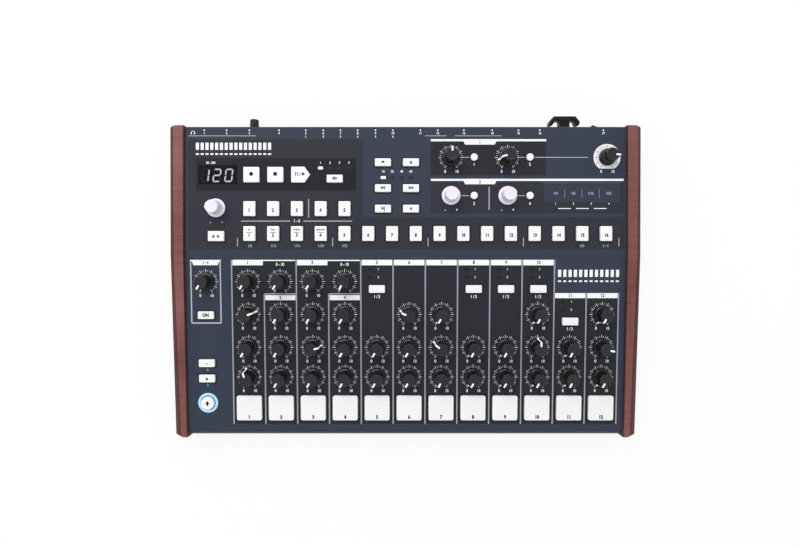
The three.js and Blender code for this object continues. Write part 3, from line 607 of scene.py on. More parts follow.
def box(x0, x1, y0, y1):
    """A rectangle by its edges."""
    return [(x0, y0), (x1, y0), (x1, y1), (x0, y1)]


def about(x, y, half_width, half_depth, corner=0):
    """A rectangle by its middle, with rounded corners if it has any."""
    edges = (x - half_width, x + half_width, y - half_depth, y + half_depth)
    return rounded(*edges, corner) if corner else box(*edges)


def figure_mesh(text, weight):
    """The mesh of a line of figures, made once for each text and weight of line."""
    if (text, weight) not in figure_meshes:
        curve = bpy.data.curves.new("figure", "FONT")
        curve.body = text
        curve.align_x = "CENTER"
        curve.align_y = "CENTER"
        curve.resolution_u = figure_steps
        curve.offset = weight
        curve.extrude = 0.5
        writing = bpy.data.objects.new("figure", curve)
        scene.collection.objects.link(writing)
        evaluated = writing.evaluated_get(bpy.context.evaluated_depsgraph_get())
        figure_meshes[text, weight] = bpy.data.meshes.new_from_object(evaluated)
        bpy.data.objects.remove(writing)
    return figure_meshes[text, weight]


def stamp(work, plane, text, x, y, size, heights=(ink_bed, first_coat), slot=0, weight=figure_weight):
    """Prints figures, centred on a place of a plane. The size is the height of a line of text."""
    low, high = heights
    place = Matrix.Translation((x * mm, y * mm, (low + high) / 2 * mm))
    scale = Matrix.Diagonal((size * mm * figure_condense, size * mm, (high - low) * mm, 1))
    writing = figure_mesh(text, weight).copy()
    writing.transform(plane @ place @ scale)
    writing.polygons.foreach_set("material_index", [slot] * len(writing.polygons))
    work.from_mesh(writing)
    bpy.data.meshes.remove(writing)


def key_sign(work, plane, key, text, size=5.2, down=0.5):
    """A printed sign on a key. It lies a share of the key's depth down from its rear edge."""
    x0, x1, y0, y1 = key["box"]
    place = ((x0 + x1) / 2, y1 - down * (y1 - y0))
    stamp(work, plane, text, *place, size, key_ink_heights, 1, key_figure_weight)


def key_plate(work, plane, outline):
    """A printed form on a key."""
    plate(work, plane, outline, *key_ink_heights, 1)


mats = {"pad_mat": front_plane, "step_key_mat": rear_plane}
mats |= {"rear_key_mat": rear_plane, "front_key_mat": front_plane}
keys_of = {node: key_places(node, plane) for node, plane in mats.items()}
caps = {}
for node, plane in mats.items():
    work = caps[node] = solid_of(node)
    lid = plane @ Vector((0, 0, (cap_foot + 0.05) * mm))
    upright = plane.to_3x3() @ Vector((0, 0, 1))
    everything = [*work.verts, *work.edges, *work.faces]
    cut = {"dist": weld / 10, "plane_co": lid, "plane_no": upright, "clear_outer": True}
    bmesh.ops.bisect_plane(work, geom=everything, **cut)
    bmesh.ops.holes_fill(work, edges=[edge for edge in work.edges if edge.is_boundary])
    for key in keys_of[node]:
        key_cap(work, plane, key)

# Signs of the pads and the step keys: black figures, low on the pads and in the middle of the keys.
# The first four step keys also have a dash and as many dots as their number, all printed in one pass.
pads = keys_of["pad_mat"]
steps = keys_of["step_key_mat"]
step_caps = caps["step_key_mat"]
pad_figure = 5.0
pad_figure_down = 0.86
step_figure = 4.6
sign_share = 0.62
dotted_steps = 4
dash_down = 0.43
dash_half = (2.9, 0.25)
dots_down = 0.25
dot_pitch = 2.2
dot_radius = 0.8
for number, key in enumerate(pads, 1):
    key_sign(caps["pad_mat"], front_plane, key, str(number), pad_figure, pad_figure_down)
for number, key in enumerate(steps, 1):
    key_sign(step_caps, rear_plane, key, str(number), step_figure, sign_share)
    if number <= dotted_steps:
        x0, x1, y0, y1 = key["box"]
        middle = (x0 + x1) / 2
        key_plate(step_caps, rear_plane, about(middle, y1 - dash_down * (y1 - y0), *dash_half))
        for dot in range(number):
            dot_x = middle + (dot - (number - 1) / 2) * dot_pitch
            dot_outline = disc(dot_x, y1 - dots_down * (y1 - y0), dot_radius, 12)
            key_plate(step_caps, rear_plane, dot_outline)

# Signs of the rear keys, printed in black: record, stop, play and pause, figures on the modes, and
# small signs on the program keys, sync and tap. The keys are told apart by their sizes.
rear_keys = keys_of["rear_key_mat"]
rear_caps = caps["rear_key_mat"]
square_size = (16.4, 15.8)
mode_size = (12.3, 15.3)
small_size = (16.5, 8.0)
tap_size = (16.5, 10.5)
mode_figure = 4.8
tap_figure = 5.0
program_signs = ("=", "x", "<<", ">>", ">|", "v")
sign_rise = 0.6
record_radius = 2.0
stop_half = 1.8
play_sign_shift = 8.4
pause_bars = (-4.4, -2.4)
pause_bar_width = 0.8
pause_bar_half = 1.9
slash = ((-0.7, -2.2), (-0.1, -2.2), (1.9, 2.2), (1.3, 2.2))
play_arrow = ((2.6, -1.9), (6.0, 0), (2.6, 1.9))


def keys_sized(keys, size):
    """The straight keys of one size, in millimetres."""
    alike = []
    for key in keys:
        off = abs(key["size"][0] - size[0]) + abs(key["size"][1] - size[1])
        if off < 0.5 and not key["point"]:
            alike.append(key)
    return alike


record_key, stop_key = keys_sized(rear_keys, square_size)
play_key = next(key for key in rear_keys if key["point"])
mode_keys = keys_sized(rear_keys, mode_size)
small_keys = keys_sized(rear_keys, small_size)
tap_key = keys_sized(rear_keys, tap_size)[0]
for number, key in enumerate(mode_keys, 1):
    key_sign(rear_caps, rear_plane, key, str(number), mode_figure, sign_share)
sync_key = min(small_keys, key=lambda key: key["box"][0])
program_keys = [key for key in small_keys if key is not sync_key]
for key, text in zip(program_keys, program_signs):
    key_sign(rear_caps, rear_plane, key, text)
key_sign(rear_caps, rear_plane, sync_key, "<>")
key_sign(rear_caps, rear_plane, tap_key, "o  o", tap_figure)
x, y = middle_of(record_key)
y += sign_rise
key_plate(rear_caps, rear_plane, disc(x, y, record_radius))
x = middle_of(stop_key)[0]
key_plate(rear_caps, rear_plane, about(x, y, stop_half, stop_half))
x = play_key["box"][0] + play_sign_shift
for bar in pause_bars:
    bar_ends = (x + bar, x + bar + pause_bar_width)
    key_plate(rear_caps, rear_plane, box(*bar_ends, y - pause_bar_half, y + pause_bar_half))
for form in (slash, play_arrow):
    key_plate(rear_caps, rear_plane, [(x + corner_x, y + corner_y) for corner_x, corner_y in form])

# Signs of the front keys, printed in black: the metronome's switch, mute and solo, and an arrow on
# the round shift key.
front_keys = keys_of["front_key_mat"]
front_caps = caps["front_key_mat"]
left_key_figure = 4.8
arrow_head = ((-2.4, -0.4), (2.4, -0.4), (0, 2.6))
arrow_shaft = ((-0.9, -2.6), (0.9, -2.6), (0.9, -0.4), (-0.9, -0.4))
shift_key = next(key for key in front_keys if key["round"])
left_keys = [key for key in front_keys if key["box"][1] < pads[0]["box"][0] and not key["round"]]
for key, text in zip(left_keys, ("ON", "-", "o")):
    key_sign(front_caps, front_plane, key, text, left_key_figure)
shift_x, shift_y = middle_of(shift_key)
for form in (arrow_head, arrow_shaft):
    outline = [(shift_x + corner_x, shift_y + corner_y) for corner_x, corner_y in form]
    key_plate(front_caps, front_plane, outline)
for node, work in caps.items():
    piece_of(f"{node}_caps", work, [white_silicone, key_ink], node, "white_silicone", node)


# Knobs: black moulded plastic, pushed onto the shafts of the potentiometers. A flat skirt with a
# pointed nub carries an eight-sided tapered body. A white line is let in over the top, the side and
# the nub. The three endless knobs are white: the rate knob has a nub, the other two a round skirt.
knob_lift = 0.6
knob_rise = 16.0
dial_skirt = (8.8, 10.4)
rate_skirt = (9.6, 12.0)
round_skirt = (9.6, 9.6)
skirt_top = 2.5
skirt_slope = 0.6
nub_tip_angle = 5
nub_root_angle = 20
nub_curve = 1.3
body_base_radius = 7.3
body_top_radius = 6.7
ridge_half_width = 1.5
ridge_top_reach = 8.1
ridge_foot_reach = 8.8
facet_angle = 45
facet_half_angle = 16.5
facet_offsets = (-16.5, -8, 0, 8, 16.5, 20.5, 24.5)
nub_angles = (-20, -12, -8, -5, 5, 8, 12, 20)
foot_flare = 0.35
dish_rim_inset = 1.5
dish_rim_drop = 0.12
dish_drop = 0.2
dish_middle_drop = 0.22
top_height = 0.6
shaft_radius = 3.0
shaft_sides = 16
shaft_overlap = 0.4
pointer_half_width = 0.85
pointer_start = 3.2
inlay_proud = 0.06
inlay_depth = 0.3
pointer_range = 150
rate_pointer_angle = -82
knob_black = paint(39, 37, 45)
# A darker copy of the knob's black: painted shade on the knobs' sides and skirts, and the plain colour of
# the other black mouldings.
side_shade_and_deep_black = paint(17, 17, 19)
knob_white = paint(238, 232, 247)
line_white = paint(250, 250, 252)
knob_angles = {facet_angle * facet + offset for facet in range(8) for offset in facet_offsets}
knob_angles = sorted({angle % 360 for angle in (*knob_angles, *nub_angles)}, reverse=True)


def knob_seat(body):
    """The plane that a knob stands on, its place there in millimetres and its pointer's rest angle."""
    joint = joints[body.replace("_knob", "_turn")]
    plane = rear_plane if joint["pos_m"][1] > bend_y else front_plane
    x, y, _ = plane.inverted() @ Vector(joint["pos_m"]) / mm
    if joint.get("continuous"):
        return plane, x, y, {"rate_knob": rate_pointer_angle}.get(body, 0)
    return plane, x, y, joint["range_deg"][1] - pointer_range


def knob_ring(height, reach):
    """Points round a knob at one height, its pointer towards +y, where reach gives each one's radius."""
    turns = [(math.radians(angle), reach(angle)) for angle in knob_angles]
    return [(radius * math.sin(turn), radius * math.cos(turn), height) for turn, radius in turns]


def skirt_ring(skirt, height, less):
    """A ring of the skirt, which swells into the nub round the pointer's direction."""
    radius, nub = skirt

    def reach(angle):
        """The skirt's radius at an angle away from its pointer."""
        away = min(angle, 360 - angle)
        share = min(max((nub_root_angle - away) / (nub_root_angle - nub_tip_angle), 0), 1)
        return radius + (nub - radius) * share ** nub_curve - less
    return knob_ring(height, reach)


def facet_ring(height, radius, ridge=0):
    """A ring of the eight-sided body, whose flats lie between short arcs, and of its pointer ridge."""
    def reach(angle):
        """The body's radius at an angle away from its pointer."""
        off_flat = min(angle % facet_angle, facet_angle - angle % facet_angle)
        flat = math.cos(math.radians(facet_half_angle)) / math.cos(math.radians(off_flat))
        body = radius * flat if off_flat <= facet_half_angle else radius
        away = math.radians(min(angle, 360 - angle))
        if not ridge or away > full_turn / 8:
            return body
        side = ridge_half_width / max(math.sin(away), 0.01)
        return max(body, min(ridge / math.cos(away), side))
    return knob_ring(height, reach)


def knob_rings(skirt, ridged):
    """A knob from its underside to its slightly dished top, in millimetres."""
    foot = skirt_top + skirt_slope
    narrowing = (body_base_radius - body_top_radius) / (knob_rise - foot)
    ridge_narrowing = (ridge_foot_reach - ridge_top_reach) / (knob_rise - foot)
    edge = ((knob_lift, 0.3), (knob_lift + 0.2, 0.05), (knob_lift + 0.5, 0), (skirt_top - 0.4, 0.02))
    edge += ((skirt_top - 0.15, 0.14), (skirt_top, 0.42))
    rings = [skirt_ring(skirt, height, less) for height, less in edge]
    flared = (body_base_radius + foot_flare, ridged and ridge_foot_reach + foot_flare)
    rings.append(facet_ring(foot - foot_flare, *flared))
    rings.append(facet_ring(foot, body_base_radius, ridged and ridge_foot_reach))
    for drop, less in ((0.8, 0), (0.35, 0.12), (0.08, 0.4), (0, 0.8)):
        height = knob_rise - drop
        body_radius = body_base_radius - narrowing * (height - foot) - less
        ridge = ridge_foot_reach - ridge_narrowing * (height - foot) - less
        rings.append(facet_ring(height, body_radius, ridged and ridge))
    rings.append(facet_ring(knob_rise - dish_rim_drop, body_top_radius - dish_rim_inset))
    rings.append(knob_ring(knob_rise - dish_drop, lambda angle: body_top_radius / 2))
    rings.append(knob_ring(knob_rise - dish_middle_drop, lambda angle: body_top_radius / 8))
    return rings


def pointer_path():
    """Half width, reach and height along the white line, from the top's dish down to the nub's foot."""
    rim = ridge_top_reach
    foot = ridge_foot_reach
    foot_height = skirt_top + skirt_slope
    half = pointer_half_width
    path = []
    for step in range(5):
        turn = full_turn / 4 * step / 4
        reach = pointer_start + half * (1 - math.cos(turn))
        path.append((half * math.sin(turn) + 0.02, reach, knob_rise - dish_drop))
    path.append((half, body_top_radius - dish_rim_inset, knob_rise - dish_rim_drop))
    path += [(half, rim - 0.8, knob_rise), (half, rim - 0.4, knob_rise - 0.08)]
    path += [(half, rim - 0.12, knob_rise - 0.35), (half, rim, knob_rise - 0.8)]
    path += [(half, foot, foot_height), (half, foot + foot_flare, foot_height - foot_flare)]
    nub = dial_skirt[1]
    path.append((half, nub - 0.42, skirt_top))
    path += [(0.9 * half, nub - 0.14, skirt_top - 0.15), (0.8 * half, nub - 0.02, skirt_top - 0.4)]
    path += [(0.8 * half, nub, knob_lift + 0.5)]
    return path


def inlay(work, path, place, slot):
    """A strip that follows a path, a little proud of it and let in below it."""
    rings = []
    for step, (half, reach, height) in enumerate(path):
        before = path[max(step - 1, 0)]
        after = path[min(step + 1, len(path) - 1)]
        run = Vector((after[1] - before[1], after[2] - before[2])).normalized()
        section = box(-half, half, -inlay_depth, inlay_proud)
        points = [(side, reach - run.y * rise, height + run.x * rise) for side, rise in section]
        rings.append([place @ Vector(point) for point in points])
    loft(work, rings, slot)


black_plastic = coated("black_moulded", knob_black, 0.3, mottle=0.08, grain=4200, bump=0.1)
# The skirt's and the body sides' blacks are darker copies of the knob's black: painted shade under the lit
# top.
skirt_painted_shade = coated("skirt_painted_shade", side_shade_and_deep_black, 0.2, mottle=0.08, bump=0.05)
white_plastic = coated("white_moulded", knob_white, 0.42, mottle=0.02, grain=4200, bump=0.08)
dark_moulding_and_side_shade = coated("dark_moulding_and_side_shade", side_shade_and_deep_black, 0.38, mottle=0.08, bump=0.1, Specular_IOR_Level=0.3)
# The white line glows a little though no lamp lights it: painted light, which keeps its side and nub as
# bright as its top.
line_painted_glow = {"Emission_Color": line_white, "Emission_Strength": 0.12}
white_line = coated("white_inlay", line_white, 0.5, mottle=0.01, Specular_IOR_Level=0.2, **line_painted_glow)
knob_bodies = [joint["child"] for joint in frame["joints"] if joint["name"].endswith("_turn")]
knob_bodies.remove("phones_level_knob")
black_finishes = [black_plastic, dark_moulding_and_side_shade, white_line, skirt_painted_shade]
skirts = {"rate_knob": rate_skirt, "swing_knob": round_skirt, "randomness_knob": round_skirt}
for body in knob_bodies:
    plane, x, y, rest_angle = knob_seat(body)
    turn = Matrix.Rotation(-math.radians(rest_angle), 4, "Z")
    place = plane @ Matrix.Translation((x * mm, y * mm, 0)) @ turn @ Matrix.Scale(mm, 4)
    work = bmesh.new()
    rings = knob_rings(skirts.get(body, dial_skirt), body not in skirts)
    loft(work, [[place @ Vector(point) for point in ring] for ring in rings])
    shaft_foot = min((place.inverted() @ vert.co).z for vert in frame["nodes"][body].data.vertices)
    shaft = disc(0, 0, shaft_radius, shaft_sides)
    shaft_ends = (shaft_foot, knob_lift + shaft_overlap)
    loft(work, [[place @ Vector((*point, height)) for point in shaft] for height in shaft_ends])
    if body in skirts:
        piece_of(f"{body}_moulding", work, [white_plastic], body, "white_knob", body)
        continue
    # The sides and the skirt take the darker blacks: painted shade.
    for face in work.faces:
        height = (place.inverted() @ face.calc_center_median()).z
        on_skirt = height < skirt_top + skirt_slope
        face.material_index = 3 if on_skirt else int(height < knob_rise - top_height)
    inlay(work, pointer_path(), place, 2)
    piece_of(f"{body}_moulding", work, black_finishes, body, "black_knob", body)


# Print on the panel: white, grey, blue and black ink, screened over the coat in one pass each. All of
# it is drawn in millimetres on one of the two planes, and what lies over other ink is a little higher.
line_width = 1.3
fine_line = 0.7
over_ink = (first_coat, second_coat)
print_colours = {"white": paint(250, 250, 252), "grey": paint(163, 164, 174)}
print_colours |= {"pale": paint(186, 188, 198), "blue": paint(112, 172, 208)}
print_colours |= {"black": paint(12, 12, 14)}
prints = {name: bmesh.new() for name in print_colours}
inks = {}
for name, colour in print_colours.items():
    inks[name] = coated(f"{name}_ink", colour, 0.5, mottle=0.01, Specular_IOR_Level=0.2)


def band(work, plane, outer, inner, low=ink_bed, high=first_coat, slot=0):
    """A closed ring between two outlines of as many points."""
    rings = [(outer, low), (outer, high), (inner, high), (inner, low)]
    loft(work, [lifted(plane, outline, height) for outline, height in rings], slot, closed=True)


def tab(x0, x1, y, depth, slant):
    """A title tab that hangs from a bar, narrower at its lower edge."""
    return [(x0 + slant, y - depth), (x1 - slant, y - depth), (x1, y), (x0, y)]


# Wells round the keys: each key stands in an opening of the panel, and a rim of black ink round it is
# painted shade, where the gap round the key lies in shadow.
well_clearance = 0.4
well_shade_reach = 1.25
for node, plane in mats.items():
    for key in keys_of[node]:
        band(prints["black"], plane, key_outline(key, -well_shade_reach), key_outline(key, -well_clearance))

# Channel columns of the sloping front section, printed on the coat: grey lines between them and a
# white title bar over each. In the second and fourth column the bar hangs below the top knob, which
# belongs to the column at its left, and the line turns over the bar.
channel_joints = [name for name in joints if name.endswith("_level_turn")]
channel_joints = [name for name in channel_joints if not name.startswith(("metronome", "phones"))]
column_x = sorted(joints[name]["pos_m"][0] / mm for name in channel_joints)
column_pitch = (column_x[-1] - column_x[0]) / (len(column_x) - 1)
column_edges = [x - column_pitch / 2 for x in column_x] + [column_x[-1] + column_pitch / 2]
column_foot = -176.4
title_bar = (-10.6, -5.0)
title_line_foot = -6.2
inner_title_bar = (-46.6, -41.4)
late_title_bar = (-44.5, -39.3)
inner_top = -39.4
bracket_corner = 2.0
tab_inset = 1.0
title_figure = 4.9
joined_columns = (1, 3)
late_columns = (10, 11)


def bracket(x, across, top, foot, width, corner, steps=4):
    """An upright line that turns over a rounded corner into a level one."""
    def path(x, top, corner):
        """One edge of the line, from its foot round the corner."""
        turned = [(x, foot)]
        for step in range(steps + 1):
            turn = full_turn / 4 * step / steps
            turned.append((x + corner * (1 - math.cos(turn)), top - corner * (1 - math.sin(turn))))
        return [*turned, (across, top)]
    return path(x, top, corner) + path(x + width, top - width, corner - width)[::-1]


for column, x in enumerate(column_edges):
    left = x - line_width / 2
    if column in joined_columns:
        across = column_edges[column + 1]
        line = bracket(left, across, inner_top, column_foot, line_width, bracket_corner)
    else:
        top = late_title_bar[1] if column > late_columns[0] else title_bar[1]
        line = box(left, left + line_width, column_foot, top)
    plate(prints["grey"], front_plane, line)
for column, x in enumerate(column_x):
    left = column_edges[column] + tab_inset
    right = column_edges[column + 1] - tab_inset
    foot, top = title_bar
    if column in joined_columns:
        plate(prints["white"], front_plane, box(left - 2 * tab_inset, right, title_line_foot, top))
        foot, top = inner_title_bar
    if column in late_columns:
        foot, top = late_title_bar
    plate(prints["white"], front_plane, box(left, right, foot, top))
    stamp(prints["black"], front_plane, str(column + 1), x, (foot + top) / 2, title_figure, over_ink)

# Metronome box, printed round the metronome's knob and switch: a pale outline with rounded corners,
# a white line along its top and a tab that hangs from it.
metronome_box = (-221.4, -189.8, -71.0, -5.0)
metronome_corners = (1.6, 0.5)
metronome_top_line = 1.2
metronome_tab = (-219.6, -191.4, -6.1, 4.4, 1.5)
metronome_figure = 4.0
metronome_figure_drop = 2.0
x0, x1, y0, y1 = metronome_box
outer_corner, inner_corner = metronome_corners
outer = rounded(*metronome_box, outer_corner)
inner_box = (x0 + line_width, x1 - line_width, y0 + line_width, y1 - line_width)
band(prints["pale"], front_plane, outer, rounded(*inner_box, inner_corner))
plate(prints["white"], front_plane, box(x0, x1, y1 - metronome_top_line, y1), high=second_coat)
plate(prints["white"], front_plane, tab(*metronome_tab))
tab_middle = (sum(metronome_tab[:2]) / 2, metronome_tab[2] - metronome_figure_drop)
stamp(prints["black"], front_plane, "1 : 4", *tab_middle, metronome_figure, over_ink)

# Bars over the filter and the effects fields, each with a tab below it, and the disc behind the master
# volume knob, cut straight at its lower edge. All are printed in white, with black figures over them.
bar_height = 2.2
filter_bar = (26.0, 144.4, 118.9)
effects_bar = (26.0, 223.9, 78.2)
bar_tab = (59.6, 93.2, 3.4, 1.6)
bar_figure = 4.6
bar_figure_drop = 1.2
master_disc_radius = 13.8
master_disc_flat = 12.0
for number, (x0, x1, y) in enumerate((filter_bar, effects_bar), 1):
    plate(prints["white"], rear_plane, box(x0, x1, y - bar_height, y))
    plate(prints["white"], rear_plane, tab(*bar_tab[:2], y - bar_height, *bar_tab[2:]))
    figure_place = (sum(bar_tab[:2]) / 2, y - bar_height - bar_figure_drop)
    stamp(prints["black"], rear_plane, str(number), *figure_place, bar_figure, over_ink)
_, master_x, master_y, _ = knob_seat("master_volume_knob")
master_disc = [(x, y) for x, y in disc(0, 0, master_disc_radius, 64) if y > -master_disc_flat]
plate(prints["white"], rear_plane, [(master_x + x, master_y + y) for x, y in master_disc])

# Thin lines, printed in grey and pale ink: below the mode keys, at the display, between the groups of
# step keys, over the sockets, and from knob to knob in the filter and effects fields.
mode_line = (34.2, 35.3)
socket_bracket = (121.9, 122.7)
group_line = (8.7, 17.6)
group_line_half = 0.5
group_x = (-172.5, -74.8, 23.2, 121.0, 219.0)
bracket_ends = ((-223.0, -153.4), (20.0, 42.2), (50.6, 98.7))
lines = [(-168.9, -118.3, *mode_line), (-104.9, -54.7, *mode_line)]
lines += [(-100.0, -98.9, 38.5, 57.4), (85.2, 86.5, 46.4, 69.9)]
lines += [(x - group_line_half, x + group_line_half, *group_line) for x in group_x]
lines += [(*ends, *socket_bracket) for ends in bracket_ends]
for line in lines:
    plate(prints["grey"], rear_plane, box(*line))
filter_y = knob_seat("filter_cutoff_knob")[2]
effect_y = knob_seat("swing_knob")[2]
links = [(59.4, 65.4, filter_y), (117.5, 123.0, filter_y), (132.6, 187.3, filter_y)]
links += [(57.2, 65.2, effect_y), (115.0, 122.9, effect_y)]
for x0, x1, y in links:
    plate(prints["pale"], rear_plane, box(x0, x1, y - fine_line / 2, y + fine_line / 2))

# Figures, printed in white and blue: the sockets are numbered from left to right along the rear edge,
# each dial has the ends of its scale, and lights and keys have their numbers and note lengths.
small_figure = 3.3
dial_figure = 4.2
tiny_figure = 2.9
blue_figure = 3.9
dial_figure_spread = 6.0
dial_figure_drop = 14.6
socket_dot_radius = 0.8
socket_dot_y = 128.1
socket_figure_y = 124.9
paired_figure_y = 121.4
joined_tones = ("kick2_tone_knob", "clap_tone_knob")
joined_figure_y = -9.8
socket_x = (-206.6, -183.7, -160.3, -129.9, -102.4, -84.4, -66.8, -49.1, -30.8, -13.0)
socket_x += (15.2, 33.1, 59.9, 89.0, 115.9, 137.9, 203.1)
for number, x in enumerate(socket_x, 1):
    plate(prints["white"], rear_plane, disc(x, socket_dot_y, socket_dot_radius, 16))
    stamp(prints["white"], rear_plane, str(number), x, socket_figure_y, small_figure)
for number, x in enumerate(socket_x[4:10], 1):
    stamp(prints["white"], rear_plane, str(number), x, paired_figure_y, tiny_figure)
for column in joined_columns:
    stamp(prints["white"], front_plane, "0 - 10", column_x[column], joined_figure_y, dial_figure)
for body in knob_bodies:
    if body in joined_tones:
        continue
    plane, x, y, _ = knob_seat(body)
    low_mark, high_mark = ("-", "+") if body in skirts else ("0", "10")
    high_ink = "blue" if body == "rate_knob" else "white"
    figure_y = y - dial_figure_drop
    stamp(prints["white"], plane, low_mark, x - dial_figure_spread, figure_y, dial_figure)
    stamp(prints[high_ink], plane, high_mark, x + dial_figure_spread, figure_y, dial_figure)
sync_lights = (-87.3, -77.5, -67.8, -58.2)
program_lights = (-22.8, -13.6, -4.0, 5.4)
effect_lights = (154.0, 172.4, 190.8, 208.9)
effect_dials = (70.4, 127.7)
step_middles = [middle_of(key)[0] for key in steps]
note_lengths = ("1/8", "1/12", "1/16", "1/24", "1/32")
figure_rows = [
    ("white", "1234", sync_lights, 94.6, small_figure),
    ("white", ("16", "32", "48", "64"), program_lights, 85.7, small_figure),
    ("white", "1234", effect_lights, 52.6, tiny_figure),
    ("white", ("30 - 300",), (-200.0,), 94.6, small_figure),
    ("white", ("1 - 5",), (-111.6,), 34.8, dial_figure),
    ("blue", note_lengths, step_middles, 9.3, blue_figure),
    ("blue", ("120", "3 : 4"), step_middles[-2:], 9.3, blue_figure),
    ("white", "12", effect_dials, 93.0, dial_figure),
    ("white", "34", effect_dials, 52.6, dial_figure),
]
for ink, texts, places, y, size in figure_rows:
    for text, x in zip(texts, places):
        stamp(prints[ink], rear_plane, text, x, y, size)
type_figure_drop = 4.0
type_light_rises = (20.4, 12.1)
type_light_figure_shift = 1.4
left_figure_drop = 3.4
type_keys = [key for key in front_keys if not key["round"] and key["box"][0] > pads[0]["box"][0]]
for key in type_keys:
    x, y = middle_of(key)
    stamp(prints["white"], front_plane, "1 / 2", x, key["box"][2] - type_figure_drop, dial_figure)
    for text, rise in zip("12", type_light_rises):
        place = (x + type_light_figure_shift, y + rise)
        stamp(prints["white"], front_plane, text, *place, tiny_figure)
for key in left_keys[1:]:
    place = (middle_of(key)[0], key["box"][2] - left_figure_drop)
    stamp(prints["blue"], front_plane, "0", *place, blue_figure)

# Head-phones sign over the first socket: a bow between two small shells, printed in white with the
# rest of the row.
sign_x, sign_y = (-218.2, 125.6)
bow_radius = 2.0
bow_thinness = 0.75
bow_turns = (0, 0.8, 1.57, 2.34, math.pi)
shell_across = (1.2, 2.3)
shell_back = (-1.7, 0.1)
shell_corner = 0.4
outer_bow = [(bow_radius * math.cos(turn), bow_radius * math.sin(turn)) for turn in bow_turns]
bow = outer_bow + [(x * bow_thinness, y * bow_thinness) for x, y in outer_bow[::-1]]
plate(prints["white"], rear_plane, [(sign_x + x, sign_y + y) for x, y in bow])
for side in (-1, 1):
    x0, x1 = sorted(sign_x + side * reach for reach in shell_across)
    y0, y1 = (sign_y + reach for reach in shell_back)
    plate(prints["white"], rear_plane, rounded(x0, x1, y0, y1, shell_corner))
# The black print also holds the painted shade round the keys.
for name, work in prints.items():
    piece_of(f"{name}_print", work, [inks[name]], "housing", "panel_paint")


# Dial ticks: 31 fine strokes over 300 degrees round each black knob, every third one bolder and
# longer. They are printed, white on the panel and black on the white disc of the master volume.
tick_kinds = {"fine": (31, 10.2, 12.0, 0.23, 0.05), "bold": (11, 9.7, 12.9, 0.46, 0.06)}


def start_growth(name, inputs):
    """An empty geometry tree with named inputs, and the outputs that carry them."""
    tree = bpy.data.node_groups.new(name, "GeometryNodeTree")
    tree.interface.new_socket("Geometry", in_out="INPUT", socket_type="NodeSocketGeometry")
    for label, kind in inputs.items():
        tree.interface.new_socket(label, in_out="INPUT", socket_type=f"NodeSocket{kind}")
    tree.interface.new_socket("Geometry", in_out="OUTPUT", socket_type="NodeSocketGeometry")
    return tree, tree.nodes.new("NodeGroupInput").outputs


def end_growth(tree, given, mesh):
    """Sets one mesh on every point of a tree, tilted alike, and gives the whole one finish."""
    spread = {"Points": given["Geometry"], "Instance": mesh, "Rotation": given["Tilt"]}
    placed = add_node(tree, "GeometryNodeInstanceOnPoints", spread).outputs[0]
    real = add_node(tree, "GeometryNodeRealizeInstances", {0: placed}).outputs[0]
    finished = add_node(tree, "GeometryNodeSetMaterial", {"Geometry": real, "Material": given["Finish"]})
    add_node(tree, "NodeGroupOutput", {0: finished.outputs[0]})


def grown(name, tree, points, sizes, body):
    """Runs a geometry tree on a few points and keeps what grows as a plain mesh."""
    mesh = bpy.data.meshes.new(name)
    mesh.from_pydata(points, [], [])
    piece = bpy.data.objects.new(name, mesh)
    scene.collection.objects.link(piece)
    modifier = piece.modifiers.new("growth", "NODES")
    modifier.node_group = tree
    for item in tree.interface.items_tree:
        if item.name in sizes:
            modifier[item.identifier] = sizes[item.name]
    evaluated = piece.evaluated_get(bpy.context.evaluated_depsgraph_get())
    piece.data = bpy.data.meshes.new_from_object(evaluated)
    piece.modifiers.clear()
    settle(piece.data)
    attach(piece, body)


tick_inputs = {"Count": "Int", "Step": "Float", "Inner": "Float", "Outer": "Float", "Width": "Float"}
tick_inputs |= {"Height": "Float", "Tilt": "Vector", "Finish": "Material"}
dial_ticks, given = start_growth("dial_ticks", tick_inputs)


def worked(tree, operation, first, second):
    """The outcome of one sum in a geometry tree."""
    return add_node(tree, "ShaderNodeMath", {0: first, 1: second}, operation=operation).outputs[0]


spokes = add_node(dial_ticks, "GeometryNodePoints", {"Count": given["Count"]}).outputs[0]
length = worked(dial_ticks, "SUBTRACT", given["Outer"], given["Inner"])
middle = worked(dial_ticks, "MULTIPLY", worked(dial_ticks, "ADD", given["Outer"], given["Inner"]), 0.5)
stroke = {"X": given["Width"], "Y": length, "Z": given["Height"]}
stroke_size = add_node(dial_ticks, "ShaderNodeCombineXYZ", stroke).outputs[0]
stroke_mesh = add_node(dial_ticks, "GeometryNodeMeshCube", {"Size": stroke_size}).outputs[0]
reach = add_node(dial_ticks, "ShaderNodeCombineXYZ", {"Y": middle}).outputs[0]
set_out = {"Geometry": stroke_mesh, "Translation": reach}
tick = add_node(dial_ticks, "GeometryNodeTransform", set_out).outputs[0]
index = add_node(dial_ticks, "GeometryNodeInputIndex").outputs[0]
top_index = worked(dial_ticks, "MULTIPLY", worked(dial_ticks, "SUBTRACT", given["Count"], 1.0), 0.5)
turn = worked(dial_ticks, "MULTIPLY", worked(dial_ticks, "SUBTRACT", index, top_index), given["Step"])
turned = add_node(dial_ticks, "ShaderNodeCombineXYZ", {"Z": turn}).outputs[0]
fan = {"Points": spokes, "Instance": tick, "Rotation": turned}
end_growth(dial_ticks, given, add_node(dial_ticks, "GeometryNodeInstanceOnPoints", fan).outputs[0])
dial_groups = {"rear": [], "front": [], "volume": []}
for body in knob_bodies:
    plane, x, y, _ = knob_seat(body)
    group = "front" if plane is front_plane else "rear"
    if body == "master_volume_knob":
        group = "volume"
    if body not in skirts:
        bed = first_coat if group == "volume" else 0
        dial_groups[group].append(plane @ Vector((x * mm, y * mm, bed * mm)))
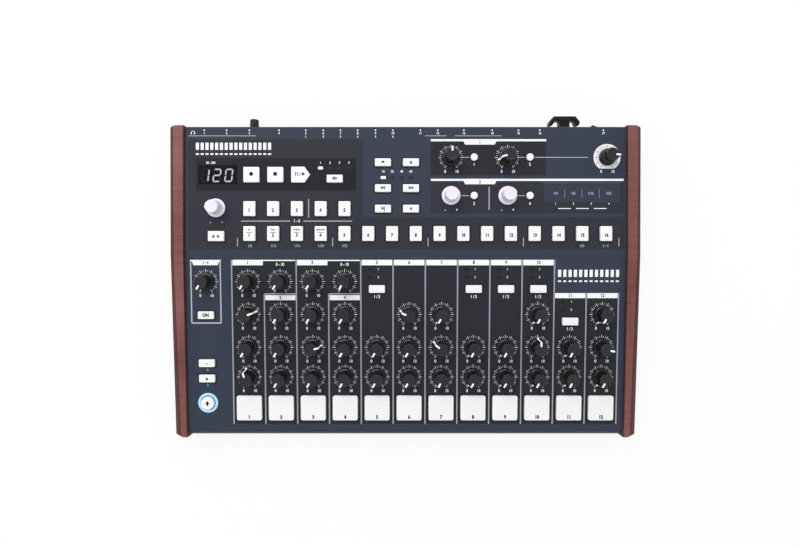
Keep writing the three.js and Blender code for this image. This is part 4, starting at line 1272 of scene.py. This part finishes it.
for group, centres in dial_groups.items():
    for kind, (count, inner, outer, width, height) in tick_kinds.items():
        sizes = {"Count": count, "Step": math.radians(2 * pointer_range) / (count - 1)}
        sizes |= {"Inner": inner * mm, "Outer": outer * mm}
        sizes |= {"Width": width * mm, "Height": 2 * height * mm}
        sizes |= {"Tilt": (front_tilt if group == "front" else 0, 0, 0)}
        sizes |= {"Finish": inks["black" if group == "volume" else "white"]}
        grown(f"{group}_{kind}_ticks", dial_ticks, centres, sizes, "housing")


# Status lights: small rounded windows of clear plastic in the panel, each over a lamp on the board.
# The first of a row is lit. The same small plaques, in ink, make the two rows of steps on the panel.
plaque_inputs = {"Width": "Float", "Depth": "Float", "Corner": "Float", "Height": "Float"}
plaque_inputs |= {"Tilt": "Vector", "Finish": "Material"}
plaques, given = start_growth("plaques", plaque_inputs)
edge = {"Width": given["Width"], "Height": given["Depth"]}
edge_curve = add_node(plaques, "GeometryNodeCurvePrimitiveQuadrilateral", edge).outputs[0]
corners = {"Curve": edge_curve, "Count": 3, "Radius": given["Corner"]}
eased_edge = add_node(plaques, "GeometryNodeFilletCurve", corners, mode="POLY").outputs[0]
face = add_node(plaques, "GeometryNodeFillCurve", {"Curve": eased_edge}, mode="NGONS").outputs[0]
raise_up = {"Mesh": face, "Offset Scale": given["Height"], "Individual": False}
raised = add_node(plaques, "GeometryNodeExtrudeMesh", raise_up).outputs[0]
base = add_node(plaques, "GeometryNodeFlipFaces", {0: face}).outputs[0]
both = add_node(plaques, "GeometryNodeJoinGeometry")
plaques.links.new(raised, both.inputs[0])
plaques.links.new(base, both.inputs[0])
merge = {"Geometry": both.outputs[0], "Distance": 0.01 * mm}
end_growth(plaques, given, add_node(plaques, "GeometryNodeMergeByDistance", merge).outputs[0])
light_shape = (5.0, 2.7, 0.7)
type_light_shape = (3.8, 2.4, 0.6)
type_light_shift = -7.3
segment_shape = (13.4, 0.8, 0.2)
dark_proud = 0.12
lit_proud = 0.16
sync_light_y = 89.3
program_light_y = 79.5
effect_light_y = 47.7
effect_segment_x = (163.4, 181.7, 199.7)
unlit = coated("unlit_window", paint(50, 49, 54), 0.3, mottle=0.05, Specular_IOR_Level=0.15)
unlit_dark = coated("unlit_dark_window", paint(33, 32, 37), 0.3, mottle=0.05, Specular_IOR_Level=0.15)
glow_white = {"Emission_Color": paint(255, 255, 255), "Emission_Strength": 0.6}
lit = coated("lit_window", paint(250, 250, 250), 0.4, mottle=0.01, **glow_white)


def on_plane(plane, places, height=ink_bed):
    """Places on a plane, in millimetres, as points in space."""
    return [plane @ Vector((x * mm, y * mm, height * mm)) for x, y in places]


def plaque_sizes(width, depth, corner, finish, high=first_coat, tilt=0):
    """The inputs of the plaques' tree, from a width, a depth and a corner in millimetres."""
    sizes = {"Width": width * mm, "Depth": depth * mm, "Corner": corner * mm}
    return sizes | {"Height": (high - ink_bed) * mm, "Tilt": (tilt, 0, 0), "Finish": finish}


effect_segments = [(x, effect_light_y) for x in effect_segment_x]
lit_places = [(sync_lights[0], sync_light_y), (program_lights[0], program_light_y)]
dark_places = [(x, sync_light_y) for x in sync_lights[1:]]
dark_places += [(x, program_light_y) for x in program_lights[1:]]
dark_places += [(x, effect_light_y) for x in (*effect_lights[1:], effect_lights[0])]
type_places = []
for key in type_keys:
    x, y = middle_of(key)
    type_places += [(x + type_light_shift, y + rise) for rise in type_light_rises]
dark_sizes = plaque_sizes(*light_shape, unlit, dark_proud)
grown("dark_lights", plaques, on_plane(rear_plane, dark_places), dark_sizes, "housing")
lit_sizes = plaque_sizes(*light_shape, lit, lit_proud)
grown("lit_lights", plaques, on_plane(rear_plane, lit_places), lit_sizes, "housing")
type_sizes = plaque_sizes(*type_light_shape, unlit_dark, dark_proud, front_tilt)
grown("type_lights", plaques, on_plane(front_plane, type_places), type_sizes, "housing")
segment_sizes = plaque_sizes(*segment_shape, inks["white"])
segment_places = on_plane(rear_plane, effect_segments)
grown("effect_segments", plaques, segment_places, segment_sizes, "housing")

# Two rows of steps, printed in white at the rear left and beside the late columns: each is a row of
# upright blocks over a row of small dashes.
step_rows = {
    "rear": (rear_plane, -216.1, -137.1, 16, 111.6, 103.6),
    "front": (front_plane, 155.8, 220.8, 12, -18.9, -27.0),
}
step_block = (3.2, 7.4, 0.4)
step_dash = (3.2, 1.6, 0.3)
for group, (plane, x0, x1, count, block_y, dash_y) in step_rows.items():
    pitch = (x1 - x0) / count
    tilt = front_tilt if plane is front_plane else 0
    for kind, shape, y in (("blocks", step_block, block_y), ("dashes", step_dash, dash_y)):
        places = on_plane(plane, [(x0 + (number + 0.5) * pitch, y) for number in range(count)])
        sizes = plaque_sizes(*shape, inks["white"], tilt=tilt)
        grown(f"{group}_step_{kind}", plaques, places, sizes, "housing")


# Display: a smoked window, let into the panel, over three slanting numerals of seven segments each. Lit
# segments show pale grey through it, and the dark ones can only just be told from the window.
window_smoke = paint(27, 25, 30)
numeral_lit = paint(186, 184, 188)
numeral_dark = paint(34, 33, 38)
numeral_x = (-205.5, -193.5, -181.3)
numeral_y = 81.7
numeral_half = (3.4, 6.2)
numeral_slant = 0.12
segment_half_width = 0.75
segment_gap = 0.2
numeral_heights = (0.19, 0.24)
shown_segments = ("bc", "abged", "abcdef")
smoked = coated("smoked_window", window_smoke, 0.15, mottle=0.02, Specular_IOR_Level=0.08)
glow_pale = {"Emission_Color": numeral_lit, "Emission_Strength": 0.05}
lit_segment = coated("lit_segment", numeral_lit, 0.5, mottle=0.01, **glow_pale)
dark_segment = coated("dark_segment", numeral_dark, 0.5, mottle=0.01, Specular_IOR_Level=0.1)
dress("display_window", smoked)


def segment(start, end):
    """A segment of a numeral between two of its corners, pointed at both ends."""
    a = Vector(start)
    b = Vector(end)
    run = (b - a).normalized()
    side = Vector((-run.y, run.x)) * segment_half_width
    a += run * segment_gap
    b -= run * segment_gap
    shoulder = run * segment_half_width
    return [a, a + shoulder - side, b - shoulder - side, b, b - shoulder + side, a + shoulder + side]


right, top = numeral_half
segment_ends = {"a": ((-right, top), (right, top)), "b": ((right, top), (right, 0))}
segment_ends |= {"c": ((right, 0), (right, -top)), "d": ((-right, -top), (right, -top))}
segment_ends |= {"e": ((-right, 0), (-right, -top)), "f": ((-right, top), (-right, 0))}
segment_ends |= {"g": ((-right, 0), (right, 0))}
numerals = bmesh.new()
for x, shown in zip(numeral_x, shown_segments):
    for name, (start, end) in segment_ends.items():
        outline = []
        for spot in segment(start, end):
            outline.append((x + spot.x + numeral_slant * spot.y, numeral_y + spot.y))
        plate(numerals, rear_plane, outline, *numeral_heights, 0 if name in shown else 1)
piece_of("display_numerals", numerals, [lit_segment, dark_segment], "housing", "window")

# Touch strip: a sensor bar let into the panel under a fine textured film, which has a pale upper
# border, three dividing lines and a note length in each of its four fields.
touch_proud = 0.2
touch_film_edge = 0.5
touch_border = 0.3
touch_divisions = (163.2, 181.0, 198.8)
touch_division_width = 0.8
touch_division_ends = (58.4, 67.8)
touch_labels = (154.0, 172.0, 190.1, 208.3)
touch_label_y = 63.1
touch_label_size = 4.0
film_heights = (touch_proud - 0.15, touch_proud + 0.05)
border_heights = (touch_proud + 0.03, touch_proud + 0.1)
touch_film = paint(54, 60, 76)
film_edge_blue = paint(112, 119, 134)
film_finish = coated("touch_film", touch_film, 0.45, mottle=0.03, Specular_IOR_Level=0.2)
dress("touch_strip", film_finish)
touch_low, touch_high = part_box("touch_strip")
touch_x = (touch_low.x / mm - touch_film_edge, touch_high.x / mm + touch_film_edge)
touch_front = (touch_low.y - bend_y) / mm - touch_film_edge
touch_rear = (touch_high.y - bend_y) / mm + touch_film_edge
film = bmesh.new()
plate(film, rear_plane, box(*touch_x, touch_front, touch_rear), *film_heights, 1)
plate(film, rear_plane, box(*touch_x, touch_rear - touch_border, touch_rear), *border_heights, 2)
for x in touch_divisions:
    half = touch_division_width / 2
    plate(film, rear_plane, box(x - half, x + half, *touch_division_ends), *border_heights, 2)
for text, x in zip(("1/4", "1/8", "1/16", "1/32"), touch_labels):
    stamp(film, rear_plane, text, x, touch_label_y, touch_label_size, border_heights)
film_edge = coated("touch_film_edge", film_edge_blue, 0.45, mottle=0.02, Specular_IOR_Level=0.2)
piece_of("touch_print", film, [inks["grey"], film_finish, film_edge], "housing", "touch_surface")

# Shift ring: a ring of clear plastic with eased edges, pushed into the panel round the shift button.
# A lamp on the board below lights it pale blue.
ring_low = -0.4
ring_shoulder = 0.1
ring_crown = 0.5
ring_high = 0.7
ring_edge = 0.3
ring_flat = 0.8
ring_reach = (7.75, 10.35)
ring_blue = paint(158, 208, 236)
glow_blue = {"Emission_Color": ring_blue, "Emission_Strength": 0.35}
ring_finish = coated("lit_ring", ring_blue, 0.35, mottle=0.05, cloud=160, **glow_blue)
inner, outer = ring_reach
profile = [(inner, ring_low), (outer, ring_low), (outer, ring_shoulder), (outer - ring_edge, ring_crown)]
profile += [(outer - ring_flat, ring_high), (inner + ring_flat, ring_high)]
profile += [(inner + ring_edge, ring_crown), (inner, ring_shoulder)]
ring_work = bmesh.new()
rings = [lifted(front_plane, disc(shift_x, shift_y, radius, 72), height) for radius, height in profile]
loft(ring_work, rings, closed=True)
piece_of("shift_ring", ring_work, [ring_finish], "housing", "window")


# Rear wall: the sockets of the jack board stand in openings of the panel's rear fold. Each small and
# large jack is held by a nickel-plated nut, and the five-pin sockets have a nickel-plated rim.
rear_wall_y = panel_high.y
wall = Matrix(((-1, 0, 0, 0), (0, 0, 1, rear_wall_y), (0, 1, 0, 0), (0, 0, 0, 1)))
wall_tilt = (-full_turn / 4, 0, 0)
socket_face = -0.01
socket_black = coated("socket_black", paint(30, 30, 32), 0.4, Specular_IOR_Level=0.4)
nickel_look = {"mottle": 0.03, "grain": 2500, "bump": 0.05, "Metallic": 1.0}
nickel = coated("nickel_plate", paint(196, 194, 188), 0.3, **nickel_look)
dress("jack_board", socket_black)
socket_kinds = {"small": (6.0, 6.0), "supply": (9.2, 9.2), "large": (11.2, 11.2), "usb": (12.0, 11.0)}
socket_kinds |= {"five_pin": (16.8, 16.8), "switch": (24.0, 17.0)}
sockets = {kind: [] for kind in socket_kinds}
openings = sorted(extents(spots) for spots, _ in islands("jack_board", wall, socket_face))
for x0, x1, y0, y1 in openings:
    size = (x1 - x0, y1 - y0)
    kind = min(socket_kinds, key=lambda name: math.dist(size, socket_kinds[name]))
    sockets[kind].append(((x0 + x1) / 2, (y0 + y1) / 2))

ring_inputs = {"Radius": "Float", "Breadth": "Float", "Height": "Float", "Sides": "Int"}
ring_inputs |= {"Tilt": "Vector", "Finish": "Material"}
ferrules, given = start_growth("ferrules", ring_inputs)
round_path = {"Resolution": given["Sides"], "Radius": given["Radius"]}
circle = add_node(ferrules, "GeometryNodeCurvePrimitiveCircle", round_path).outputs[0]
section = {"Width": given["Breadth"], "Height": given["Height"]}
cross_section = add_node(ferrules, "GeometryNodeCurvePrimitiveQuadrilateral", section).outputs[0]
swept = {"Curve": circle, "Profile Curve": cross_section}
end_growth(ferrules, given, add_node(ferrules, "GeometryNodeCurveToMesh", swept).outputs[0])
nut_sizes = {"small": (2.2, 4.1, 1.8), "large": (3.5, 7.4, 1.9)}
nut_sizes |= {"five_pin": (6.9, 8.2, 0.6), "supply": (3.0, 4.4, 0.5)}
nut_sides = 36
for kind, (inner, outer, proud) in nut_sizes.items():
    finish = socket_black if kind == "supply" else nickel
    sizes = {"Radius": (inner + outer) / 2 * mm, "Breadth": (outer - inner) * mm, "Height": proud * mm}
    sizes |= {"Sides": nut_sides, "Tilt": wall_tilt, "Finish": finish}
    centres = on_plane(wall, sockets[kind], proud / 2 + 0.02)
    grown(f"{kind}_socket_nuts", ferrules, centres, sizes, "housing")

# Insides of the sockets: five pins in a black bed, one pin in the supply inlet, and in the USB socket
# a white tongue in a shell of bent nickel-plated steel.
socket_floor = -12.5
bed_radius = 5.9
bed_face = -0.6
pin_radius = 0.8
pin_circle = 3.9
pin_turns = (0, 45, 90, 135, 180)
pin_heights = (-0.7, -0.5)
supply_pin_radius = 0.9
supply_pin_face = -1.2
tongue_shape = (2.7, 1.6, 0.3)
tongue_face = -1.4
shell_outside = (4.2, 3.8, 0.6)
shell_inside = (3.8, 3.4, 0.3)
shell_face = -0.2
tongue_white = coated("tongue_white", paint(226, 226, 222), 0.4, mottle=0.02)
inside = bmesh.new()
for x, y in sockets["five_pin"]:
    plate(inside, wall, disc(x, y, bed_radius, 40), socket_floor, bed_face, 0)
    for turn in pin_turns:
        angle = math.radians(turn)
        pin_x, pin_y = x + pin_circle * math.cos(angle), y + pin_circle * math.sin(angle)
        plate(inside, wall, disc(pin_x, pin_y, pin_radius, 12), *pin_heights, 1)
for x, y in sockets["supply"]:
    plate(inside, wall, disc(x, y, supply_pin_radius, 16), socket_floor, supply_pin_face, 1)
for x, y in sockets["usb"]:
    plate(inside, wall, about(x, y, *tongue_shape), socket_floor, tongue_face, 2)
    shell = (about(x, y, *shell_outside), about(x, y, *shell_inside))
    band(inside, wall, *shell, socket_floor, shell_face, 1)
piece_of("socket_insides", inside, [socket_black, nickel, tongue_white], "housing", "socket_plastic")

# Figures on the rear wall: plain numbers in white ink over the sockets, from left to right as they are
# counted from above.
wall_print = bmesh.new()
wall_figure_y = 35.6
for number, x in enumerate(socket_x, 1):
    stamp(wall_print, wall, str(number), -x, wall_figure_y, small_figure)
piece_of("wall_print", wall_print, [inks["white"]], "housing", "panel_paint")

# Cord hook and power rocker: black mouldings that stand out behind the rear wall, the hook screwed on
# and the rocker snapped into its switch. The rocker's two plain marks are filled with white.
hook_edge = 0.6
rocker_edge = 0.4
hook = soften(solid_of("cord_hook"), hook_edge * mm, 3)
piece_of("cord_hook_moulding", hook, [dark_moulding_and_side_shade], "housing", "black_plastic", "cord_hook")
rocker = soften(solid_of("power_rocker"), rocker_edge * mm, 3)
rocker_low, rocker_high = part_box("power_rocker")
rocker_x = (rocker_low.x + rocker_high.x) / 2 / mm
rocker_z = (rocker_low.z + rocker_high.z) / 2 / mm
raised_face = ((0, 3.4), (-6, 5.6))
pressed_face = ((6, 3.2), (0, 3.4))
mark_heights = (-0.1, 0.04)
bar_half = (0.35, 1.7)
circle_radii = (1.8, 1.25)
marks = []
for start, end in (raised_face, pressed_face):
    run = Vector((end[0] - start[0], end[1] - start[1])).normalized()
    across, out = [(a + b) / 2 for a, b in zip(start, end)]
    middle = ((rocker_x + across) * mm, rear_wall_y + out * mm, rocker_z * mm)
    axes = ((run.x, 0, -run.y), (run.y, 0, run.x), (0, 1, 0))
    rows = [(*axis, place) for axis, place in zip(axes, middle)]
    marks.append(Matrix((*rows, (0, 0, 0, 1))))
bar_plane, circle_plane = marks
plate(rocker, bar_plane, about(0, 0, *bar_half), *mark_heights, 1)
band(rocker, circle_plane, *(disc(0, 0, radius) for radius in circle_radii), *mark_heights, 1)
piece_of("power_rocker_moulding", rocker, [socket_black, inks["white"]],
         "power_rocker", "black_plastic", "power_rocker")

# Headphone level knob: a small black moulding, fluted round its side and pushed onto a shaft that
# comes out through the rear wall, with a white mark let in near its edge.
flutes = 18
flute_depth = 0.25
flute_points = 4
phones_profile = ((0.6, 4.6), (0.8, 4.85), (1.1, 4.9))
phones_end_profile = ((0.7, 4.5), (0.25, 4.3), (0, 3.8))
phones_shaft_end = 1.0
phones_mark_half = 0.4
phones_mark_ends = (0.9, 3.6)
phones_low, phones_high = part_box("phones_level_knob")
phones_x = -(phones_low.x + phones_high.x) / 2 / mm
phones_y = (phones_low.z + phones_high.z) / 2 / mm
phones_reach = (phones_high.y - rear_wall_y) / mm


def fluted(radius):
    """The outline of the fluted knob at one height."""
    outline = []
    count = flutes * flute_points
    for step in range(count):
        turn = full_turn * step / count
        reach = radius - flute_depth * (0.5 - 0.5 * math.cos(turn * flutes))
        outline.append((phones_x + reach * math.cos(turn), phones_y + reach * math.sin(turn)))
    return outline


phones_knob = bmesh.new()
rings = [*phones_profile, *((phones_reach - drop, radius) for drop, radius in phones_end_profile)]
loft(phones_knob, [lifted(wall, fluted(radius), height) for height, radius in rings])
shaft = disc(phones_x, phones_y, shaft_radius, shaft_sides)
shaft_ends = ((phones_low.y - rear_wall_y) / mm, phones_shaft_end)
loft(phones_knob, [lifted(wall, shaft, height) for height in shaft_ends])
mark_start, mark_end = (phones_y + reach for reach in phones_mark_ends)
mark = box(phones_x - phones_mark_half, phones_x + phones_mark_half, mark_start, mark_end)
plate(phones_knob, wall, mark, phones_reach - 0.3, phones_reach + 0.03, 1)
piece_of("phones_level_knob_moulding", phones_knob, [dark_moulding_and_side_shade, white_line],
         "phones_level_knob", "black_knob", "phones_level_knob")


# Underside screws: six zinc-plated pan heads with a cross recess, three at the front and three at the
# rear, which hold the tray to the panel.
screw_inputs = {"Radius": "Float", "Height": "Float", "Cross": "Float", "Slot": "Float"}
screw_inputs |= {"Tilt": "Vector", "Finish": "Material"}
screw_sides = 24
screw_top_share = 0.8
recess_share = 0.9
screws, given = start_growth("pan_screws", screw_inputs)
top_radius = worked(screws, "MULTIPLY", given["Radius"], screw_top_share)
head = {"Vertices": screw_sides, "Radius Top": top_radius}
head |= {"Radius Bottom": given["Radius"], "Depth": given["Height"]}
head_mesh = add_node(screws, "GeometryNodeMeshCone", head).outputs[0]
depth = worked(screws, "MULTIPLY", given["Height"], recess_share)
recess = head_mesh
for length, width in ((given["Cross"], given["Slot"]), (given["Slot"], given["Cross"])):
    size = add_node(screws, "ShaderNodeCombineXYZ", {"X": length, "Y": width, "Z": depth}).outputs[0]
    bar = add_node(screws, "GeometryNodeMeshCube", {"Size": size}).outputs[0]
    top = add_node(screws, "ShaderNodeCombineXYZ", {"Z": given["Height"]}).outputs[0]
    sunk = add_node(screws, "GeometryNodeTransform", {"Geometry": bar, "Translation": top}).outputs[0]
    cutter = add_node(screws, "GeometryNodeMeshBoolean", {"Mesh 1": recess}, operation="DIFFERENCE")
    screws.links.new(sunk, cutter.inputs["Mesh 2"])
    recess = cutter.outputs[0]
end_growth(screws, given, recess)
zinc_look = {"mottle": 0.04, "grain": 2500, "bump": 0.05, "Metallic": 1.0}
zinc = coated("zinc_plate", paint(176, 178, 182), 0.35, **zinc_look)
screw_inset = 14 * mm
screw_gap = 0.05 * mm
tray_low, tray_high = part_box("base_tray")
screw_x = (tray_low.x + screw_inset, 0, tray_high.x - screw_inset)
screw_y = (tray_low.y + screw_inset, tray_high.y - screw_inset)
screw_points = [(x, y, tray_low.z + screw_gap) for x in screw_x for y in screw_y]
screw_sizes = {"Radius": 3.2 * mm, "Height": 1.3 * mm, "Cross": 3.4 * mm, "Slot": 0.8 * mm}
screw_sizes |= {"Tilt": (full_turn / 2, 0, 0), "Finish": zinc}
grown("tray_screws", screws, screw_points, screw_sizes, "housing")

visual_low, visual_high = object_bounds()
sizes = {"cad": [list(cad_low), list(cad_high)], "visual": [list(visual_low), list(visual_high)]}
